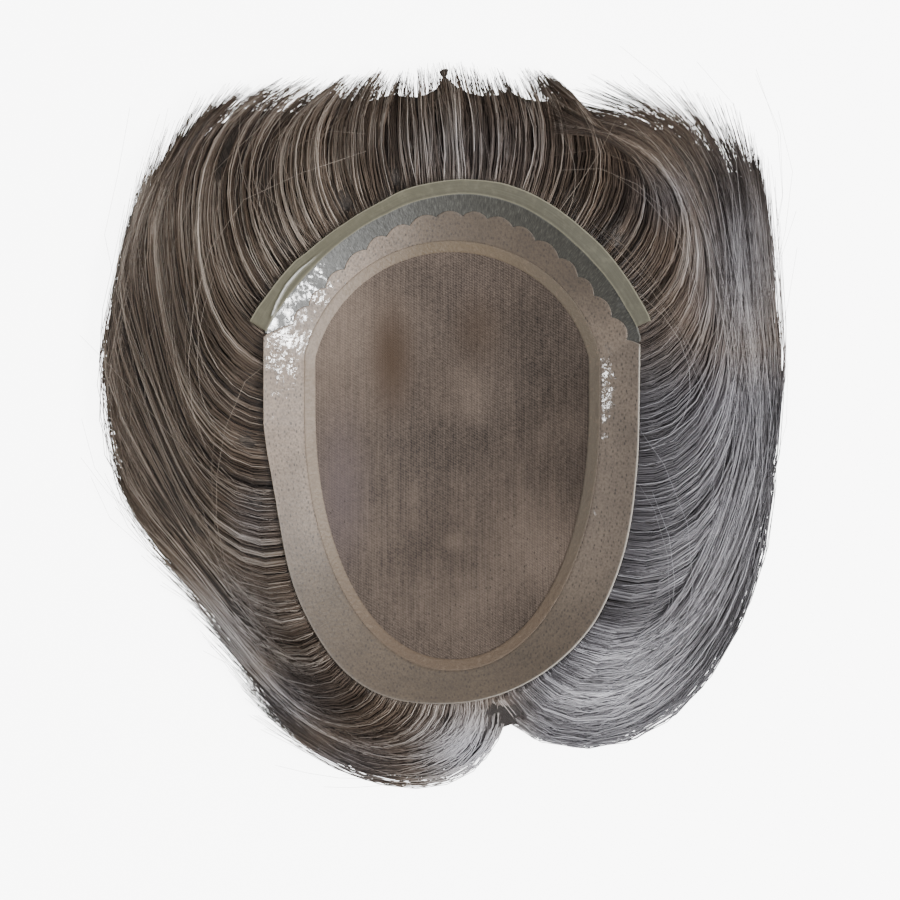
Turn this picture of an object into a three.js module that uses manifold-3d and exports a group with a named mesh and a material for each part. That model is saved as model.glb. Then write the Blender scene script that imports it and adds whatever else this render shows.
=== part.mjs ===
// A toupee hairpiece, lying scalp side up with its hair combed forward and spread round the cap.
// +Y is the forehead and +Z is up. The origin is under the crown, on the surface that the piece lies on.
// Lengths are in millimetres and angles in degrees, counted from +X towards +Y.
import * as THREE from 'three';
import { mergeVertices } from 'three/addons/utils/BufferGeometryUtils.js';
import Module from 'manifold-3d';

const wasm = await Module();
wasm.setup();

// The cap, measured across its open rim
const capWidth = 184.6;
const capLength = 249;
const capWall = 1;
const frontCornerDrop = 68.7;
const rearRoundness = 2.3;
const rearStart = 20;
const rearLean = 7;
const rearLeanLength = 42;
const rearLeanCurve = 1.5;

// The bowl that the cap makes over its pad of hair. Its rim waves up at the sides and down at the ends.
const padHeight = 10.5;
const bowlDepth = 28;
const bowlCurve = 2;
const rimWave = 1.5;

// The mesh panel inside the skin border, and the seam tape between them
const sideBorder = 25;
const frontBorder = 27;
const rearBorder = 21.5;
const panelCornerDrop = 52;
const panelRoundness = 2.1;
const seamWidth = 5;
const seamWall = 1.3;

// The scallops along the front of the skin border, with the clear skin in front of them
const clearSkinWidth = 10;
const scallopPitch = 12.5;
const scallopDepth = 2.5;
const scallopRoundness = 0.7;
const scallopEndLength = 16;

// The film that runs on past the front hairline until it is cut off, and stops short of the cap's corners
const filmWidth = 8;
const filmWall = 0.8;
const filmLift = 0.8;
const filmEndInset = 4;

// The hair under and round the cap
const hairLength = 223;
const skirtSpread = 80;
const skirtTipHeight = 5.5;
const skirtCurve = 1.2;
const rootTuck = 6;
const lockWidth = 20;
const lockRise = 4;
const lockTaper = 2.5;
const lockPointShare = 0.12;

// Gaps that the touching pieces keep
const seamGap = 0.3;
const scallopGap = 0.35;
const hairGap = 0.5;
const partingGap = 0.4;

// How sharply a parting bends near the tips
const partingCurve = 3;

// How far the hair is made below the table before it is cut off level with it
const tableCut = 2;

// How finely the curved shapes are cut
const capColumns = 48;
const panelRows = 5;
const moundColumns = 60;
const moundRows = 3;
const lockSteps = 8;
const partingSteps = 6;
const filmColumns = 36;
const stepsPerScallop = 4;

// Soft dents in the mesh panel. x and y are shares of the panel's half width and half length, reach is a
// share of its width, and depth is a share of the bowl's depth. A ridge has a negative depth.
const dents = [
  { x: -0.42, y: 0.44, reach: 0.34, depth: 0.085 },
  { x: 0.20, y: 0.62, reach: 0.24, depth: 0.055 },
  { x: 0.14, y: 0.34, reach: 0.24, depth: -0.05 },
  { x: -0.18, y: -0.24, reach: 0.36, depth: 0.07 },
  { x: 0.52, y: -0.14, reach: 0.30, depth: 0.04 },
];

// How far the mound of hair spreads past the cap's edge, as a share of the skirt's spread
const spreads = [
  { angle: -74, spread: 0.22 },
  { angle: -66, spread: 0.43 },
  { angle: -56, spread: 0.62 },
  { angle: -40, spread: 0.70 },
  { angle: -12, spread: 0.76 },
  { angle: 16, spread: 0.85 },
  { angle: 40, spread: 0.96 },
  { angle: 58, spread: 0.92 },
  { angle: 74, spread: 0.76 },
  { angle: 92, spread: 0.72 },
  { angle: 110, spread: 0.80 },
  { angle: 132, spread: 1.10 },
  { angle: 150, spread: 1.02 },
  { angle: 176, spread: 0.92 },
  { angle: 196, spread: 0.76 },
  { angle: 214, spread: 0.45 },
  { angle: 230, spread: 0.34 },
  { angle: 250, spread: 0.38 },
  { angle: 270, spread: 0.38 },
  { angle: 279, spread: 0.15 },
];

// The locks, each combed out of the cap's edge at the angle root. length is a share of the hair's length
// and wide a share of a lock's width. start, early, late and tip are the lock's headings along its length.
const rightLocks = [
  { root: -78, length: 0.94, wide: 0.85, start: -81, early: 21, late: 56, tip: 84 },
  { root: -71, length: 0.95, wide: 1.00, start: -69, early: 41, late: 61, tip: 103 },
  { root: -60, length: 0.95, wide: 1.10, start: -42, early: 51, late: 69, tip: 105 },
  { root: -48, length: 0.97, wide: 1.00, start: -32, early: 58, late: 78, tip: 105 },
  { root: -32, length: 1.00, wide: 1.15, start: -31, early: 67, late: 84, tip: 118 },
  { root: -14, length: 0.97, wide: 1.00, start: -23, early: 73, late: 90, tip: 135 },
  { root: 3, length: 0.90, wide: 1.10, start: -14, early: 77, late: 98, tip: 154 },
  { root: 19, length: 0.80, wide: 1.00, start: -3, early: 78, late: 112, tip: 174 },
  { root: 32, length: 0.62, wide: 1.05, start: 15, early: 75, late: 121, tip: 173 },
  { root: 44, length: 0.49, wide: 0.95, start: 35, early: 70, late: 124, tip: 156 },
  { root: 54, length: 0.45, wide: 0.85, start: 53, early: 65, late: 119, tip: 145 },
];
const frontLocks = [
  { root: 64, length: 0.39, wide: 1.00, start: 52, early: 71, late: 101, tip: 137 },
  { root: 76, length: 0.33, wide: 1.20, start: 73, early: 81, late: 99, tip: 120 },
  { root: 89, length: 0.35, wide: 1.25, start: 89, early: 92, late: 99, tip: 109 },
  { root: 102, length: 0.32, wide: 1.10, start: 113, early: 100, late: 88, tip: 64 },
];
const leftLocks = [
  { root: 114, length: 0.38, wide: 0.95, start: 134, early: 108, late: 84, tip: 47 },
  { root: 127, length: 0.42, wide: 1.05, start: 140, early: 112, late: 85, tip: 40 },
  { root: 138, length: 0.53, wide: 1.10, start: 138, early: 110, late: 80, tip: 35 },
  { root: 150, length: 0.65, wide: 1.15, start: 157, early: 107, late: 81, tip: 31 },
  { root: 162, length: 0.73, wide: 1.10, start: 176, early: 110, late: 91, tip: 42 },
  { root: 177, length: 0.80, wide: 1.20, start: 193, early: 114, late: 96, tip: 50 },
  { root: 196, length: 0.85, wide: 1.15, start: 202, early: 117, late: 102, tip: 63 },
  { root: 212, length: 0.84, wide: 1.10, start: 212, early: 123, late: 112, tip: 74 },
  { root: 227, length: 0.79, wide: 1.00, start: 226, early: 129, late: 121, tip: 79 },
  { root: 240, length: 0.70, wide: 0.95, start: 253, early: 135, late: 134, tip: 102 },
  { root: 251, length: 0.69, wide: 0.90, start: 262, early: 145, late: 130, tip: 134 },
  { root: 262, length: 0.75, wide: 0.90, start: 267, early: 157, late: 125, tip: 147 },
  { root: 271, length: 0.62, wide: 1.00, start: 285, early: 191, late: 146, tip: 126 },
  { root: 279, length: 0.60, wide: 0.85, start: 303, early: 208, late: 160, tip: 159 },
];

// A lock's section, from its right side over its crest to its left: shares of its half width and height
const lockSection = [
  { across: 1, up: 0 },
  { across: 1, up: 0.8 },
  { across: 0.5, up: 0.96 },
  { across: -0.5, up: 0.96 },
  { across: -1, up: 0.8 },
  { across: -1, up: 0 },
];

// The partings between the three sweeps of hair: their angle at the cap's edge and at the tips
const partings = {
  nape: { root: 280, tip: 281 },
  frontRight: { root: 59, tip: 72 },
  frontLeft: { root: 108, tip: 103 },
};

const fullTurn = 360;
const { degToRad, radToDeg, clamp, lerp, smoothstep, euclideanModulo } = THREE.MathUtils;

// Points and curves in the plan view
function place(angle, radius) {
  return { x: radius * Math.cos(degToRad(angle)), y: radius * Math.sin(degToRad(angle)) };
}

function angleOf(x, y) {
  return radToDeg(Math.atan2(y, x));
}

function spaced(from, to, count) {
  return Array.from({ length: count + 1 }, (_, index) => lerp(from, to, index / count));
}

// An egg outline: an arc in front, straight sides, and a rounded rear that may lean to one side
function eggOutline({ side, front, rear, arcRadius, roundness, lean }) {
  const arcCentre = front - arcRadius;

  function isInside(x, y) {
    if (y > front || y < -rear) {
      return false;
    }
    const leanShare = clamp((rearLeanLength - rear - y) / rearLeanLength, 0, 1);
    const offset = Math.abs(x + lean * leanShare ** rearLeanCurve);
    const rearShare = Math.max(0, (rearStart - y) / (rearStart + rear));
    const sideReach = side * (1 - rearShare ** roundness) ** (1 / roundness);
    const arcReach = y > arcCentre ? Math.sqrt(arcRadius ** 2 - (y - arcCentre) ** 2) : side;
    return offset < Math.min(sideReach, arcReach);
  }

  function reach(angle) {
    let inner = 0;
    let outer = 2 * front;
    for (let halving = 0; halving < 30; halving += 1) {
      const middle = (inner + outer) / 2;
      const point = place(angle, middle);
      if (isInside(point.x, point.y)) {
        inner = middle;
      } else {
        outer = middle;
      }
    }
    return inner;
  }

  return reach;
}

// The radius of an arc that drops by so much from its top to the side of a piece
function arcRadiusFor(side, drop) {
  return (side ** 2 + drop ** 2) / (2 * drop);
}

const halfWidth = capWidth / 2;
const halfLength = capLength / 2;
const frontArcRadius = arcRadiusFor(halfWidth, frontCornerDrop);
const capEdge = eggOutline({
  side: halfWidth,
  front: halfLength,
  rear: halfLength,
  arcRadius: frontArcRadius,
  roundness: rearRoundness,
  lean: rearLean,
});

function panelOutline(grow) {
  const side = halfWidth - sideBorder;
  return eggOutline({
    side: side + grow,
    front: halfLength - frontBorder + grow,
    rear: halfLength - rearBorder + grow,
    arcRadius: arcRadiusFor(side, panelCornerDrop) + grow,
    roundness: panelRoundness,
    lean: 0,
  });
}

const panelEdge = panelOutline(0);
const seamInner = panelOutline(seamGap);
const seamOuter = panelOutline(seamWidth);
const borderInner = panelOutline(seamWidth + seamGap);

// The front arc is counted by the angle about its own centre, from the right corner to the left one
const arcCentreY = halfLength - frontArcRadius;
const cornerArcAngle = radToDeg(Math.acos(halfWidth / frontArcRadius));
const arcLength = frontArcRadius * degToRad(180 - 2 * cornerArcAngle);
const scallopCount = Math.round(arcLength / scallopPitch);

function arcColumns(count, endInset) {
  const start = cornerArcAngle + radToDeg(endInset / frontArcRadius);
  return spaced(start, 180 - start, count).map((arcAngle) => {
    const point = place(arcAngle, frontArcRadius);
    return angleOf(point.x, point.y + arcCentreY);
  });
}

// How far an angle of the cap lies from the right corner of its front arc, along the arc
function alongArc(angle) {
  const point = place(angle, capEdge(angle));
  const arcAngle = euclideanModulo(angleOf(point.x, point.y - arcCentreY) + 90, fullTurn) - 90;
  return degToRad(arcAngle - cornerArcAngle) * frontArcRadius;
}

function fromCorner(angle) {
  const along = alongArc(angle);
  return Math.min(along, arcLength - along);
}

// How far the scalloped line lies inside the cap's edge, at an angle of the cap
function scallopInset(angle) {
  const away = fromCorner(angle);
  if (away <= 0) {
    return 0;
  }
  const bulge = Math.abs(Math.sin(alongArc(angle) / arcLength * scallopCount * Math.PI));
  const inset = clearSkinWidth - scallopDepth * bulge ** scallopRoundness;
  return inset * smoothstep(away, 0, scallopEndLength);
}

function borderEdge(angle) {
  return capEdge(angle) - scallopInset(angle);
}

// The height of the cap's upper, scalp side
const crownTop = padHeight + hairGap + capWall;
const rimHeight = crownTop + bowlDepth;

function rimTop(angle) {
  return rimHeight + rimWave * Math.cos(2 * degToRad(angle));
}

function dentDepth(x, y) {
  const panelHalfWidth = panelEdge(0);
  const panelHalfLength = panelEdge(90);
  return dents.reduce((total, dent) => {
    const away = Math.hypot(x - dent.x * panelHalfWidth, y - dent.y * panelHalfLength);
    return total + dent.depth * bowlDepth * (1 - smoothstep(away, 0, dent.reach * 2 * panelHalfWidth));
  }, 0);
}

function capTop(x, y) {
  const angle = angleOf(x, y);
  const share = Math.min(1, Math.hypot(x, y) / capEdge(angle));
  return lerp(crownTop, rimTop(angle), share ** bowlCurve) - dentDepth(x, y);
}

// The rings between two edges of the plan, each a reach for every angle
function ringsBetween(inner, outer, count) {
  return spaced(0, 1, count).map((share) => (angle) => lerp(inner(angle), outer(angle), share));
}

// A closed wall over a patch of the plan. columns are its angles and rings its reaches at each of them.
// A disc has its middle as one point, and a loop joins its last column to its first.
function patchWall({ columns, rings, top, bottom, isDisc = false, isLoop = true }) {
  const positions = [];
  const triangles = [];
  const ringCount = rings.length;

  function addLayer(heightOf) {
    const first = positions.length / 3;
    for (const angle of columns) {
      for (const ring of rings) {
        const point = place(angle, ring(angle));
        positions.push(point.x, point.y, heightOf(point.x, point.y));
      }
    }
    if (isDisc) {
      positions.push(0, 0, heightOf(0, 0));
    }
    return first;
  }

  const above = addLayer(top);
  const below = addLayer(bottom);
  const middle = columns.length * ringCount;
  const at = (layer, column, ring) => layer + (column % columns.length) * ringCount + ring;
  const quad = (a, b, c, d) => triangles.push(a, b, c, a, c, d);
  const spans = isLoop ? columns.length : columns.length - 1;
  const last = ringCount - 1;

  for (let column = 0; column < spans; column += 1) {
    const next = column + 1;
    for (let ring = 0; ring < last; ring += 1) {
      const far = ring + 1;
      quad(at(above, column, ring), at(above, column, far), at(above, next, far), at(above, next, ring));
      quad(at(below, column, ring), at(below, next, ring), at(below, next, far), at(below, column, far));
    }
    quad(at(below, column, last), at(below, next, last), at(above, next, last), at(above, column, last));
    if (isDisc) {
      triangles.push(above + middle, at(above, column, 0), at(above, next, 0));
      triangles.push(below + middle, at(below, next, 0), at(below, column, 0));
    } else {
      quad(at(above, column, 0), at(above, next, 0), at(below, next, 0), at(below, column, 0));
    }
  }
  if (!isLoop) {
    const end = columns.length - 1;
    for (let ring = 0; ring < last; ring += 1) {
      const far = ring + 1;
      quad(at(below, 0, ring), at(below, 0, far), at(above, 0, far), at(above, 0, ring));
      quad(at(below, end, far), at(below, end, ring), at(above, end, ring), at(above, end, far));
    }
  }

  const geometry = new THREE.BufferGeometry();
  geometry.setAttribute('position', new THREE.Float32BufferAttribute(positions, 3));
  geometry.setIndex(triangles);
  geometry.computeVertexNormals();
  return geometry;
}

const roundColumns = spaced(0, fullTurn, capColumns).slice(0, -1);
const panelRings = ringsBetween(() => 0, panelEdge, panelRows).slice(1);
const capUnder = (x, y) => capTop(x, y) - capWall;

function makeMonoPanel() {
  return patchWall({
    columns: roundColumns,
    rings: panelRings,
    top: capTop,
    bottom: capUnder,
    isDisc: true,
  });
}

function makeSeamTape() {
  return patchWall({
    columns: roundColumns,
    rings: [seamInner, seamOuter],
    top: (x, y) => capUnder(x, y) + seamWall,
    bottom: capUnder,
  });
}

function makeSkinBorder() {
  const front = arcColumns(scallopCount * stepsPerScallop, 0);
  const rear = spaced(front[front.length - 1], front[0] + fullTurn, capColumns).slice(1, -1);
  return patchWall({
    columns: [...front, ...rear],
    rings: ringsBetween(borderInner, borderEdge, 2),
    top: capTop,
    bottom: capUnder,
  });
}

// The clear skin is a crescent whose ends stop where it has narrowed to its own wall
function makeClearSkin() {
  const columns = arcColumns(scallopCount * stepsPerScallop, 0);
  const isWide = (angle) => scallopInset(angle) > capWall + scallopGap;
  return patchWall({
    columns: columns.filter(isWide),
    rings: [(angle) => borderEdge(angle) + scallopGap, capEdge],
    top: capTop,
    bottom: capUnder,
    isLoop: false,
  });
}

// The film keeps its width square to the cap's edge, so it reaches further along a slanting angle
function filmEdge(angle) {
  const point = place(angle, capEdge(angle));
  const slant = degToRad(angle - angleOf(point.x, point.y - arcCentreY));
  return capEdge(angle) + seamGap + filmWidth / Math.cos(slant);
}

function filmTop(x, y) {
  const angle = angleOf(x, y);
  const past = (Math.hypot(x, y) - capEdge(angle)) / filmWidth;
  return rimTop(angle) + filmLift * clamp(past, 0, 1);
}

function makeTrimFilm() {
  return patchWall({
    columns: arcColumns(filmColumns, filmEndInset),
    rings: [(angle) => capEdge(angle) + seamGap, filmEdge],
    top: filmTop,
    bottom: (x, y) => filmTop(x, y) - filmWall,
    isLoop: false,
  });
}

// Solids that can be joined and cut
function toSolid(geometry) {
  geometry.deleteAttribute('normal');
  geometry.deleteAttribute('uv');
  const merged = mergeVertices(geometry);
  return new wasm.Manifold(new wasm.Mesh({
    numProp: 3,
    vertProperties: new Float32Array(merged.getAttribute('position').array),
    triVerts: new Uint32Array(merged.getIndex().array),
  }));
}

function toGeometry(solid) {
  const mesh = solid.getMesh();
  const geometry = new THREE.BufferGeometry();
  geometry.setAttribute('position', new THREE.BufferAttribute(new Float32Array(mesh.vertProperties), 3));
  geometry.setIndex(new THREE.BufferAttribute(new Uint32Array(mesh.triVerts), 1));
  geometry.computeVertexNormals();
  return geometry;
}

// The pressed pad of hair under the cap, flat where it lies on the table
function makeCrownHair() {
  const padEdge = (angle) => capEdge(angle) - rootTuck - hairGap;
  return patchWall({
    columns: roundColumns,
    rings: [...panelRings, seamOuter, padEdge],
    top: (x, y) => capUnder(x, y) - hairGap,
    bottom: () => 0,
    isDisc: true,
  });
}

// The mound of hair round the cap, a smooth curve through the table of spreads
const spreadCurve = new THREE.CatmullRomCurve3(
  spreads.map((row) => new THREE.Vector3(row.angle, row.spread, 0)),
);

function moundSpread(angle) {
  const first = spreads[0].angle;
  const wrapped = euclideanModulo(angle - first, fullTurn) + first;
  const next = spreads.findIndex((row) => row.angle > wrapped);
  if (next < 1) {
    return spreads[spreads.length - 1].spread * skirtSpread;
  }
  const share = (wrapped - spreads[next - 1].angle) / (spreads[next].angle - spreads[next - 1].angle);
  return spreadCurve.getPoint((next - 1 + share) / (spreads.length - 1)).y * skirtSpread;
}

function moundTop(x, y) {
  const angle = angleOf(x, y);
  const past = Math.hypot(x, y) - capEdge(angle);
  const share = clamp(past / moundSpread(angle), 0, 1);
  const rootTop = rimTop(angle) - capWall - hairGap;
  const fall = Math.cos(share * Math.PI / 2) ** skirtCurve;
  return lerp(skirtTipHeight, rootTop, fall);
}

function makeMound() {
  return toSolid(patchWall({
    columns: spaced(0, fullTurn, moundColumns).slice(0, -1),
    rings: ringsBetween(
      (angle) => capEdge(angle) - 2 * rootTuck,
      (angle) => capEdge(angle) + moundSpread(angle),
      moundRows,
    ),
    top: moundTop,
    bottom: () => -tableCut,
  }));
}

// A heading along a lock: the cubic through its four headings at equal shares of its length
function headingAt({ start, early, late, tip }, share) {
  const a = share - 1 / 3;
  const b = share - 2 / 3;
  const c = share - 1;
  return 4.5 * (tip * share * a * b - start * a * b * c) + 13.5 * share * c * (early * b - late * a);
}

// One lock: a rounded ridge swept from under the cap's edge over the mound to a point, down to the table
function makeLock(lock) {
  const root = place(lock.root, capEdge(lock.root) - rootTuck / 2);
  const step = hairLength * lock.length / lockSteps;
  const sides = lockSection.length;
  const positions = [];
  const triangles = [];
  let { x, y } = root;
  for (let index = 0; index <= lockSteps; index += 1) {
    const share = index / lockSteps;
    const heading = degToRad(headingAt(lock, share));
    const taper = Math.sqrt(1 - (1 - lockPointShare ** 2) * share ** lockTaper);
    const halfWide = lock.wide * lockWidth / 2 * taper;
    const crest = moundTop(x, y) + lockRise * taper;
    for (const corner of lockSection) {
      positions.push(
        x + Math.sin(heading) * halfWide * corner.across,
        y - Math.cos(heading) * halfWide * corner.across,
        crest * corner.up - (corner.up ? 0 : tableCut),
      );
    }
    const between = degToRad(headingAt(lock, share + 0.5 / lockSteps));
    x += step * Math.cos(between);
    y += step * Math.sin(between);
  }
  for (let index = 0; index < lockSteps; index += 1) {
    for (let side = 0; side < sides; side += 1) {
      const next = (side + 1) % sides;
      const near = index * sides;
      const far = near + sides;
      triangles.push(near + side, far + next, near + next, near + side, far + side, far + next);
    }
  }
  const end = lockSteps * sides;
  for (let side = 1; side < sides - 1; side += 1) {
    triangles.push(0, side, side + 1, end, end + side + 1, end + side);
  }
  const geometry = new THREE.BufferGeometry();
  geometry.setAttribute('position', new THREE.Float32BufferAttribute(positions, 3));
  geometry.setIndex(triangles);
  return toSolid(geometry);
}

// The room that the cap and its film need, which is cut out of the hair below them
function makeCapRoom() {
  const isFront = (angle) => fromCorner(angle) > -filmEndInset;
  const roomEdge = (angle) => (isFront(angle) ? filmEdge(angle) : capEdge(angle)) + hairGap;
  return toSolid(patchWall({
    columns: spaced(0, fullTurn, moundColumns).slice(0, -1),
    rings: ringsBetween((angle) => capEdge(angle) - 3 * rootTuck, roomEdge, 3),
    top: () => 2 * rimHeight,
    bottom: (x, y) => Math.min(capTop(x, y), filmTop(x, y)) - capWall - hairGap,
  }));
}

// The upright block between two partings, which bend towards the tips, and the pad under the cap
function makeBlock(from, to) {
  const outer = capLength + skirtSpread;
  const turn = to.root > from.root ? 0 : fullTurn;
  const edgeOf = (parting, side) => spaced(0, 1, partingSteps).map((share) => {
    const radius = capEdge(parting.root) + lerp(-rootTuck, skirtSpread, share);
    const gapAngle = radToDeg(partingGap / 2 / radius);
    return place(lerp(parting.root, parting.tip, share ** partingCurve) + side * gapAngle, radius);
  });
  const far = spaced(from.tip, to.tip + turn, partingSteps).map((angle) => place(angle, outer));
  const near = spaced(to.root + turn, from.root, moundColumns).slice(1, -1)
    .map((angle) => place(angle, capEdge(angle) - rootTuck));
  const corners = [...edgeOf(from, 1), ...far, ...edgeOf(to, -1).reverse(), ...near];
  const shape = new THREE.Shape(corners.map((corner) => new THREE.Vector2(corner.x, corner.y)));
  return toSolid(new THREE.ExtrudeGeometry(shape, { depth: 2 * rimHeight, bevelEnabled: false }));
}

const mound = makeMound();
const capRoom = makeCapRoom();

function makeSweep(locks, from, to) {
  const hair = locks.reduce((joined, lock) => joined.add(makeLock(lock)), mound);
  return toGeometry(hair.intersect(makeBlock(from, to)).subtract(capRoom));
}

function makeLeftHair() {
  return makeSweep(leftLocks, partings.frontLeft, partings.nape);
}

function makeRightHair() {
  return makeSweep(rightLocks, partings.nape, partings.frontRight);
}

function makeFrontHair() {
  return makeSweep(frontLocks, partings.frontRight, partings.frontLeft);
}

const pieces = [
  { name: 'mono_panel', make: makeMonoPanel, colour: '#8c7d70', roughness: 0.85 },
  { name: 'seam_tape', make: makeSeamTape, colour: '#bfa88f', roughness: 0.6 },
  { name: 'skin_border', make: makeSkinBorder, colour: '#b3a493', roughness: 0.55 },
  { name: 'front_clear_skin', make: makeClearSkin, colour: '#7d8078', roughness: 0.3 },
  { name: 'front_trim_film', make: makeTrimFilm, colour: '#9a9c8c', roughness: 0.3 },
  { name: 'crown_hair', make: makeCrownHair, colour: '#6d655f', roughness: 0.5 },
  { name: 'left_hair', make: makeLeftHair, colour: '#6d655f', roughness: 0.5 },
  { name: 'right_hair', make: makeRightHair, colour: '#85817f', roughness: 0.5 },
  { name: 'front_hair', make: makeFrontHair, colour: '#77706b', roughness: 0.5 },
];

const toupee = new THREE.Group();
for (const piece of pieces) {
  const material = new THREE.MeshStandardMaterial({
    color: piece.colour,
    roughness: piece.roughness,
    metalness: 0,
  });
  const mesh = new THREE.Mesh(piece.make(), material);
  mesh.name = piece.name;
  toupee.add(mesh);
}

export default toupee;
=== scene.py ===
import math

import bpy
import numpy as np
from mathutils.kdtree import KDTree
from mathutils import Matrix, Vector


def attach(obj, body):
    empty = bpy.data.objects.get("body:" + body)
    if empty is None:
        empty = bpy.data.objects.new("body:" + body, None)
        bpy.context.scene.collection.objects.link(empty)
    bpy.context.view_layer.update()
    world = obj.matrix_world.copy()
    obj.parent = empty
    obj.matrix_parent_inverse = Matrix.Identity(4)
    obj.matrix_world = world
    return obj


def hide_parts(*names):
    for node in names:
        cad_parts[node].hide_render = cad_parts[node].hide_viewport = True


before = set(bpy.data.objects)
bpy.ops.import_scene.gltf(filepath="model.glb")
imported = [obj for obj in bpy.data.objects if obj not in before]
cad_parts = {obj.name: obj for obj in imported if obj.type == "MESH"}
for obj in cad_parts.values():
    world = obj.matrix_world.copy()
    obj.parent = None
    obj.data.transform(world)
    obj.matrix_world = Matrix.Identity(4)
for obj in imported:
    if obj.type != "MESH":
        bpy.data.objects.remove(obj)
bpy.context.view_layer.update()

print("stage 1: the packed frame is loaded")

# The cap repeats the CAD model's own values: metres, and degrees counted from +X towards +Y
cap = {
    "halfWidth": 0.0923,
    "halfLength": 0.1245,
    "wall": 0.001,
    "cornerDrop": 0.0687,
    "rearStart": 0.020,
    "rearRoundness": 2.3,
    "rearLean": 0.007,
    "rearLeanLength": 0.042,
    "crownTop": 0.012,
    "rimHeight": 0.040,
    "rimWave": 0.0015,
    "sideBorder": 0.025,
    "frontBorder": 0.027,
    "rearBorder": 0.0215,
    "panelCornerDrop": 0.052,
    "panelRoundness": 2.1,
    "seamWidth": 0.005,
    "seamGap": 0.0003,
    "scallopDepth": 0.0026,
    "filmLift": 0.0008,
    "filmEnds": (33.4, 147.5),
}

# How far the hand-trimmed edge lies inside the even outline, by angle
edgeTrims = [
    (10, 0.0008), (28, 0.0004), (34.5, 0.0), (39.6, 0.0012), (46, 0.0015), (52.6, 0.0018), (59.5, 0.0014),
    (67.6, -0.0002), (73.9, -0.0016), (80, -0.0021),
    (85, -0.0021), (88.2, -0.0018), (93, -0.0007), (99.1, 0.0006),
    (105.5, 0.0026), (115.2, 0.0040), (122, 0.0044),
    (128, 0.0044), (133, 0.0037), (139, 0.0024), (144, 0.0008),
    (148, 0.0), (172, 0.0), (180, 0.0012), (188, 0.0026), (196, 0.0033), (204, 0.0032), (212, 0.0023),
    (222, 0.0008), (230, 0.0), (330, 0.0), (350, 0.0008),
]

# The points between the scallops: their angle, and how far they lie inside the edge
scallopPoints = [
    (29.4, 0.0), (32.3, 0.0071), (39.8, 0.0090),
    (47.4, 0.0108), (54.0, 0.0110), (60.9, 0.0111), (68.3, 0.0117),
    (74.7, 0.0115), (81.3, 0.0114), (87.5, 0.0114), (93.9, 0.0104), (100.7, 0.0108), (107.1, 0.0106),
    (113.1, 0.0111), (120.8, 0.0120), (128.0, 0.0118), (134.8, 0.0114), (141.4, 0.0102), (149.0, 0.0),
]

# How far the film reaches past the edge, by angle
filmReach = [
    (32.6, 0.0074), (39.7, 0.0077), (46.3, 0.0077),
    (53.2, 0.0082), (61.3, 0.0078), (68.2, 0.0076), (74.8, 0.0073),
    (79.1, 0.0073), (85.2, 0.0065), (94.8, 0.0067), (101.3, 0.0069), (108.1, 0.0060), (115.6, 0.0060),
    (121.5, 0.0065), (126.4, 0.0071), (129.5, 0.0083), (134.6, 0.0084), (141.2, 0.0084), (147.7, 0.0092),
]

# Soft dents in the mesh panel: x, y, reach and depth in metres. A ridge has a negative depth.
panelDents = [
    (-0.0283, 0.0429, 0.0458, 0.00238),
    (0.0135, 0.0605, 0.0323, 0.00154),
    (0.0094, 0.0332, 0.0323, -0.00140),
    (-0.0121, -0.0234, 0.0485, 0.00196),
    (0.0350, -0.0137, 0.0404, 0.00112),
]

tableAngles = np.arange(0, 360, 0.25)


def smooth(value, low, high):
    share = np.clip((value - low) / (high - low), 0, 1)
    return share * share * (3 - 2 * share)


def arcRadius(side, drop):
    return (side**2 + drop**2) / (2 * drop)


# An egg outline, as a reach for every angle: an arc in front, straight sides and a rounded rear
def eggOutline(side, front, rear, radius, roundness, lean):
    turn = np.radians(tableAngles)
    inner = np.zeros_like(turn)
    outer = np.full_like(turn, 2 * front)
    for halving in range(30):
        middle = (inner + outer) / 2
        x = middle * np.cos(turn)
        y = middle * np.sin(turn)
        leanShare = np.clip((cap["rearLeanLength"] - rear - y) / cap["rearLeanLength"], 0, 1)
        offset = np.abs(x + lean * leanShare**1.5)
        rearShare = np.clip((cap["rearStart"] - y) / (cap["rearStart"] + rear), 0, 1)
        sideReach = side * (1 - rearShare**roundness) ** (1 / roundness)
        rise = y - (front - radius)
        arcReach = np.where(rise > 0, np.sqrt(np.clip(radius**2 - rise**2, 0, None)), side)
        isInside = (y <= front) & (y >= -rear) & (offset < np.minimum(sideReach, arcReach))
        inner = np.where(isInside, middle, inner)
        outer = np.where(isInside, outer, middle)
    return lambda angle: np.interp(np.asarray(angle) % 360, tableAngles, inner, period=360)


frontRadius = arcRadius(cap["halfWidth"], cap["cornerDrop"])
arcCentre = cap["halfLength"] - frontRadius
cornerAngle = math.degrees(math.acos(cap["halfWidth"] / frontRadius))
evenEdge = eggOutline(
    cap["halfWidth"], cap["halfLength"], cap["halfLength"], frontRadius, cap["rearRoundness"], cap["rearLean"]
)


def capEdge(angle):
    trimAngles, trims = zip(*edgeTrims)
    return evenEdge(angle) - np.interp(np.asarray(angle) % 360, trimAngles, trims)


def panelOutline(grow):
    side = cap["halfWidth"] - cap["sideBorder"]
    return eggOutline(
        side + grow,
        cap["halfLength"] - cap["frontBorder"] + grow,
        cap["halfLength"] - cap["rearBorder"] + grow,
        arcRadius(side, cap["panelCornerDrop"]) + grow,
        cap["panelRoundness"],
        0,
    )


panelEdge = panelOutline(0)
seamInner = panelOutline(cap["seamGap"])
seamOuter = panelOutline(cap["seamWidth"])
borderInner = panelOutline(cap["seamWidth"] + cap["seamGap"])


def polar(angle, radius):
    return radius * np.cos(np.radians(angle)), radius * np.sin(np.radians(angle))


def angleOf(x, y):
    return np.degrees(np.arctan2(y, x))


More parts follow.
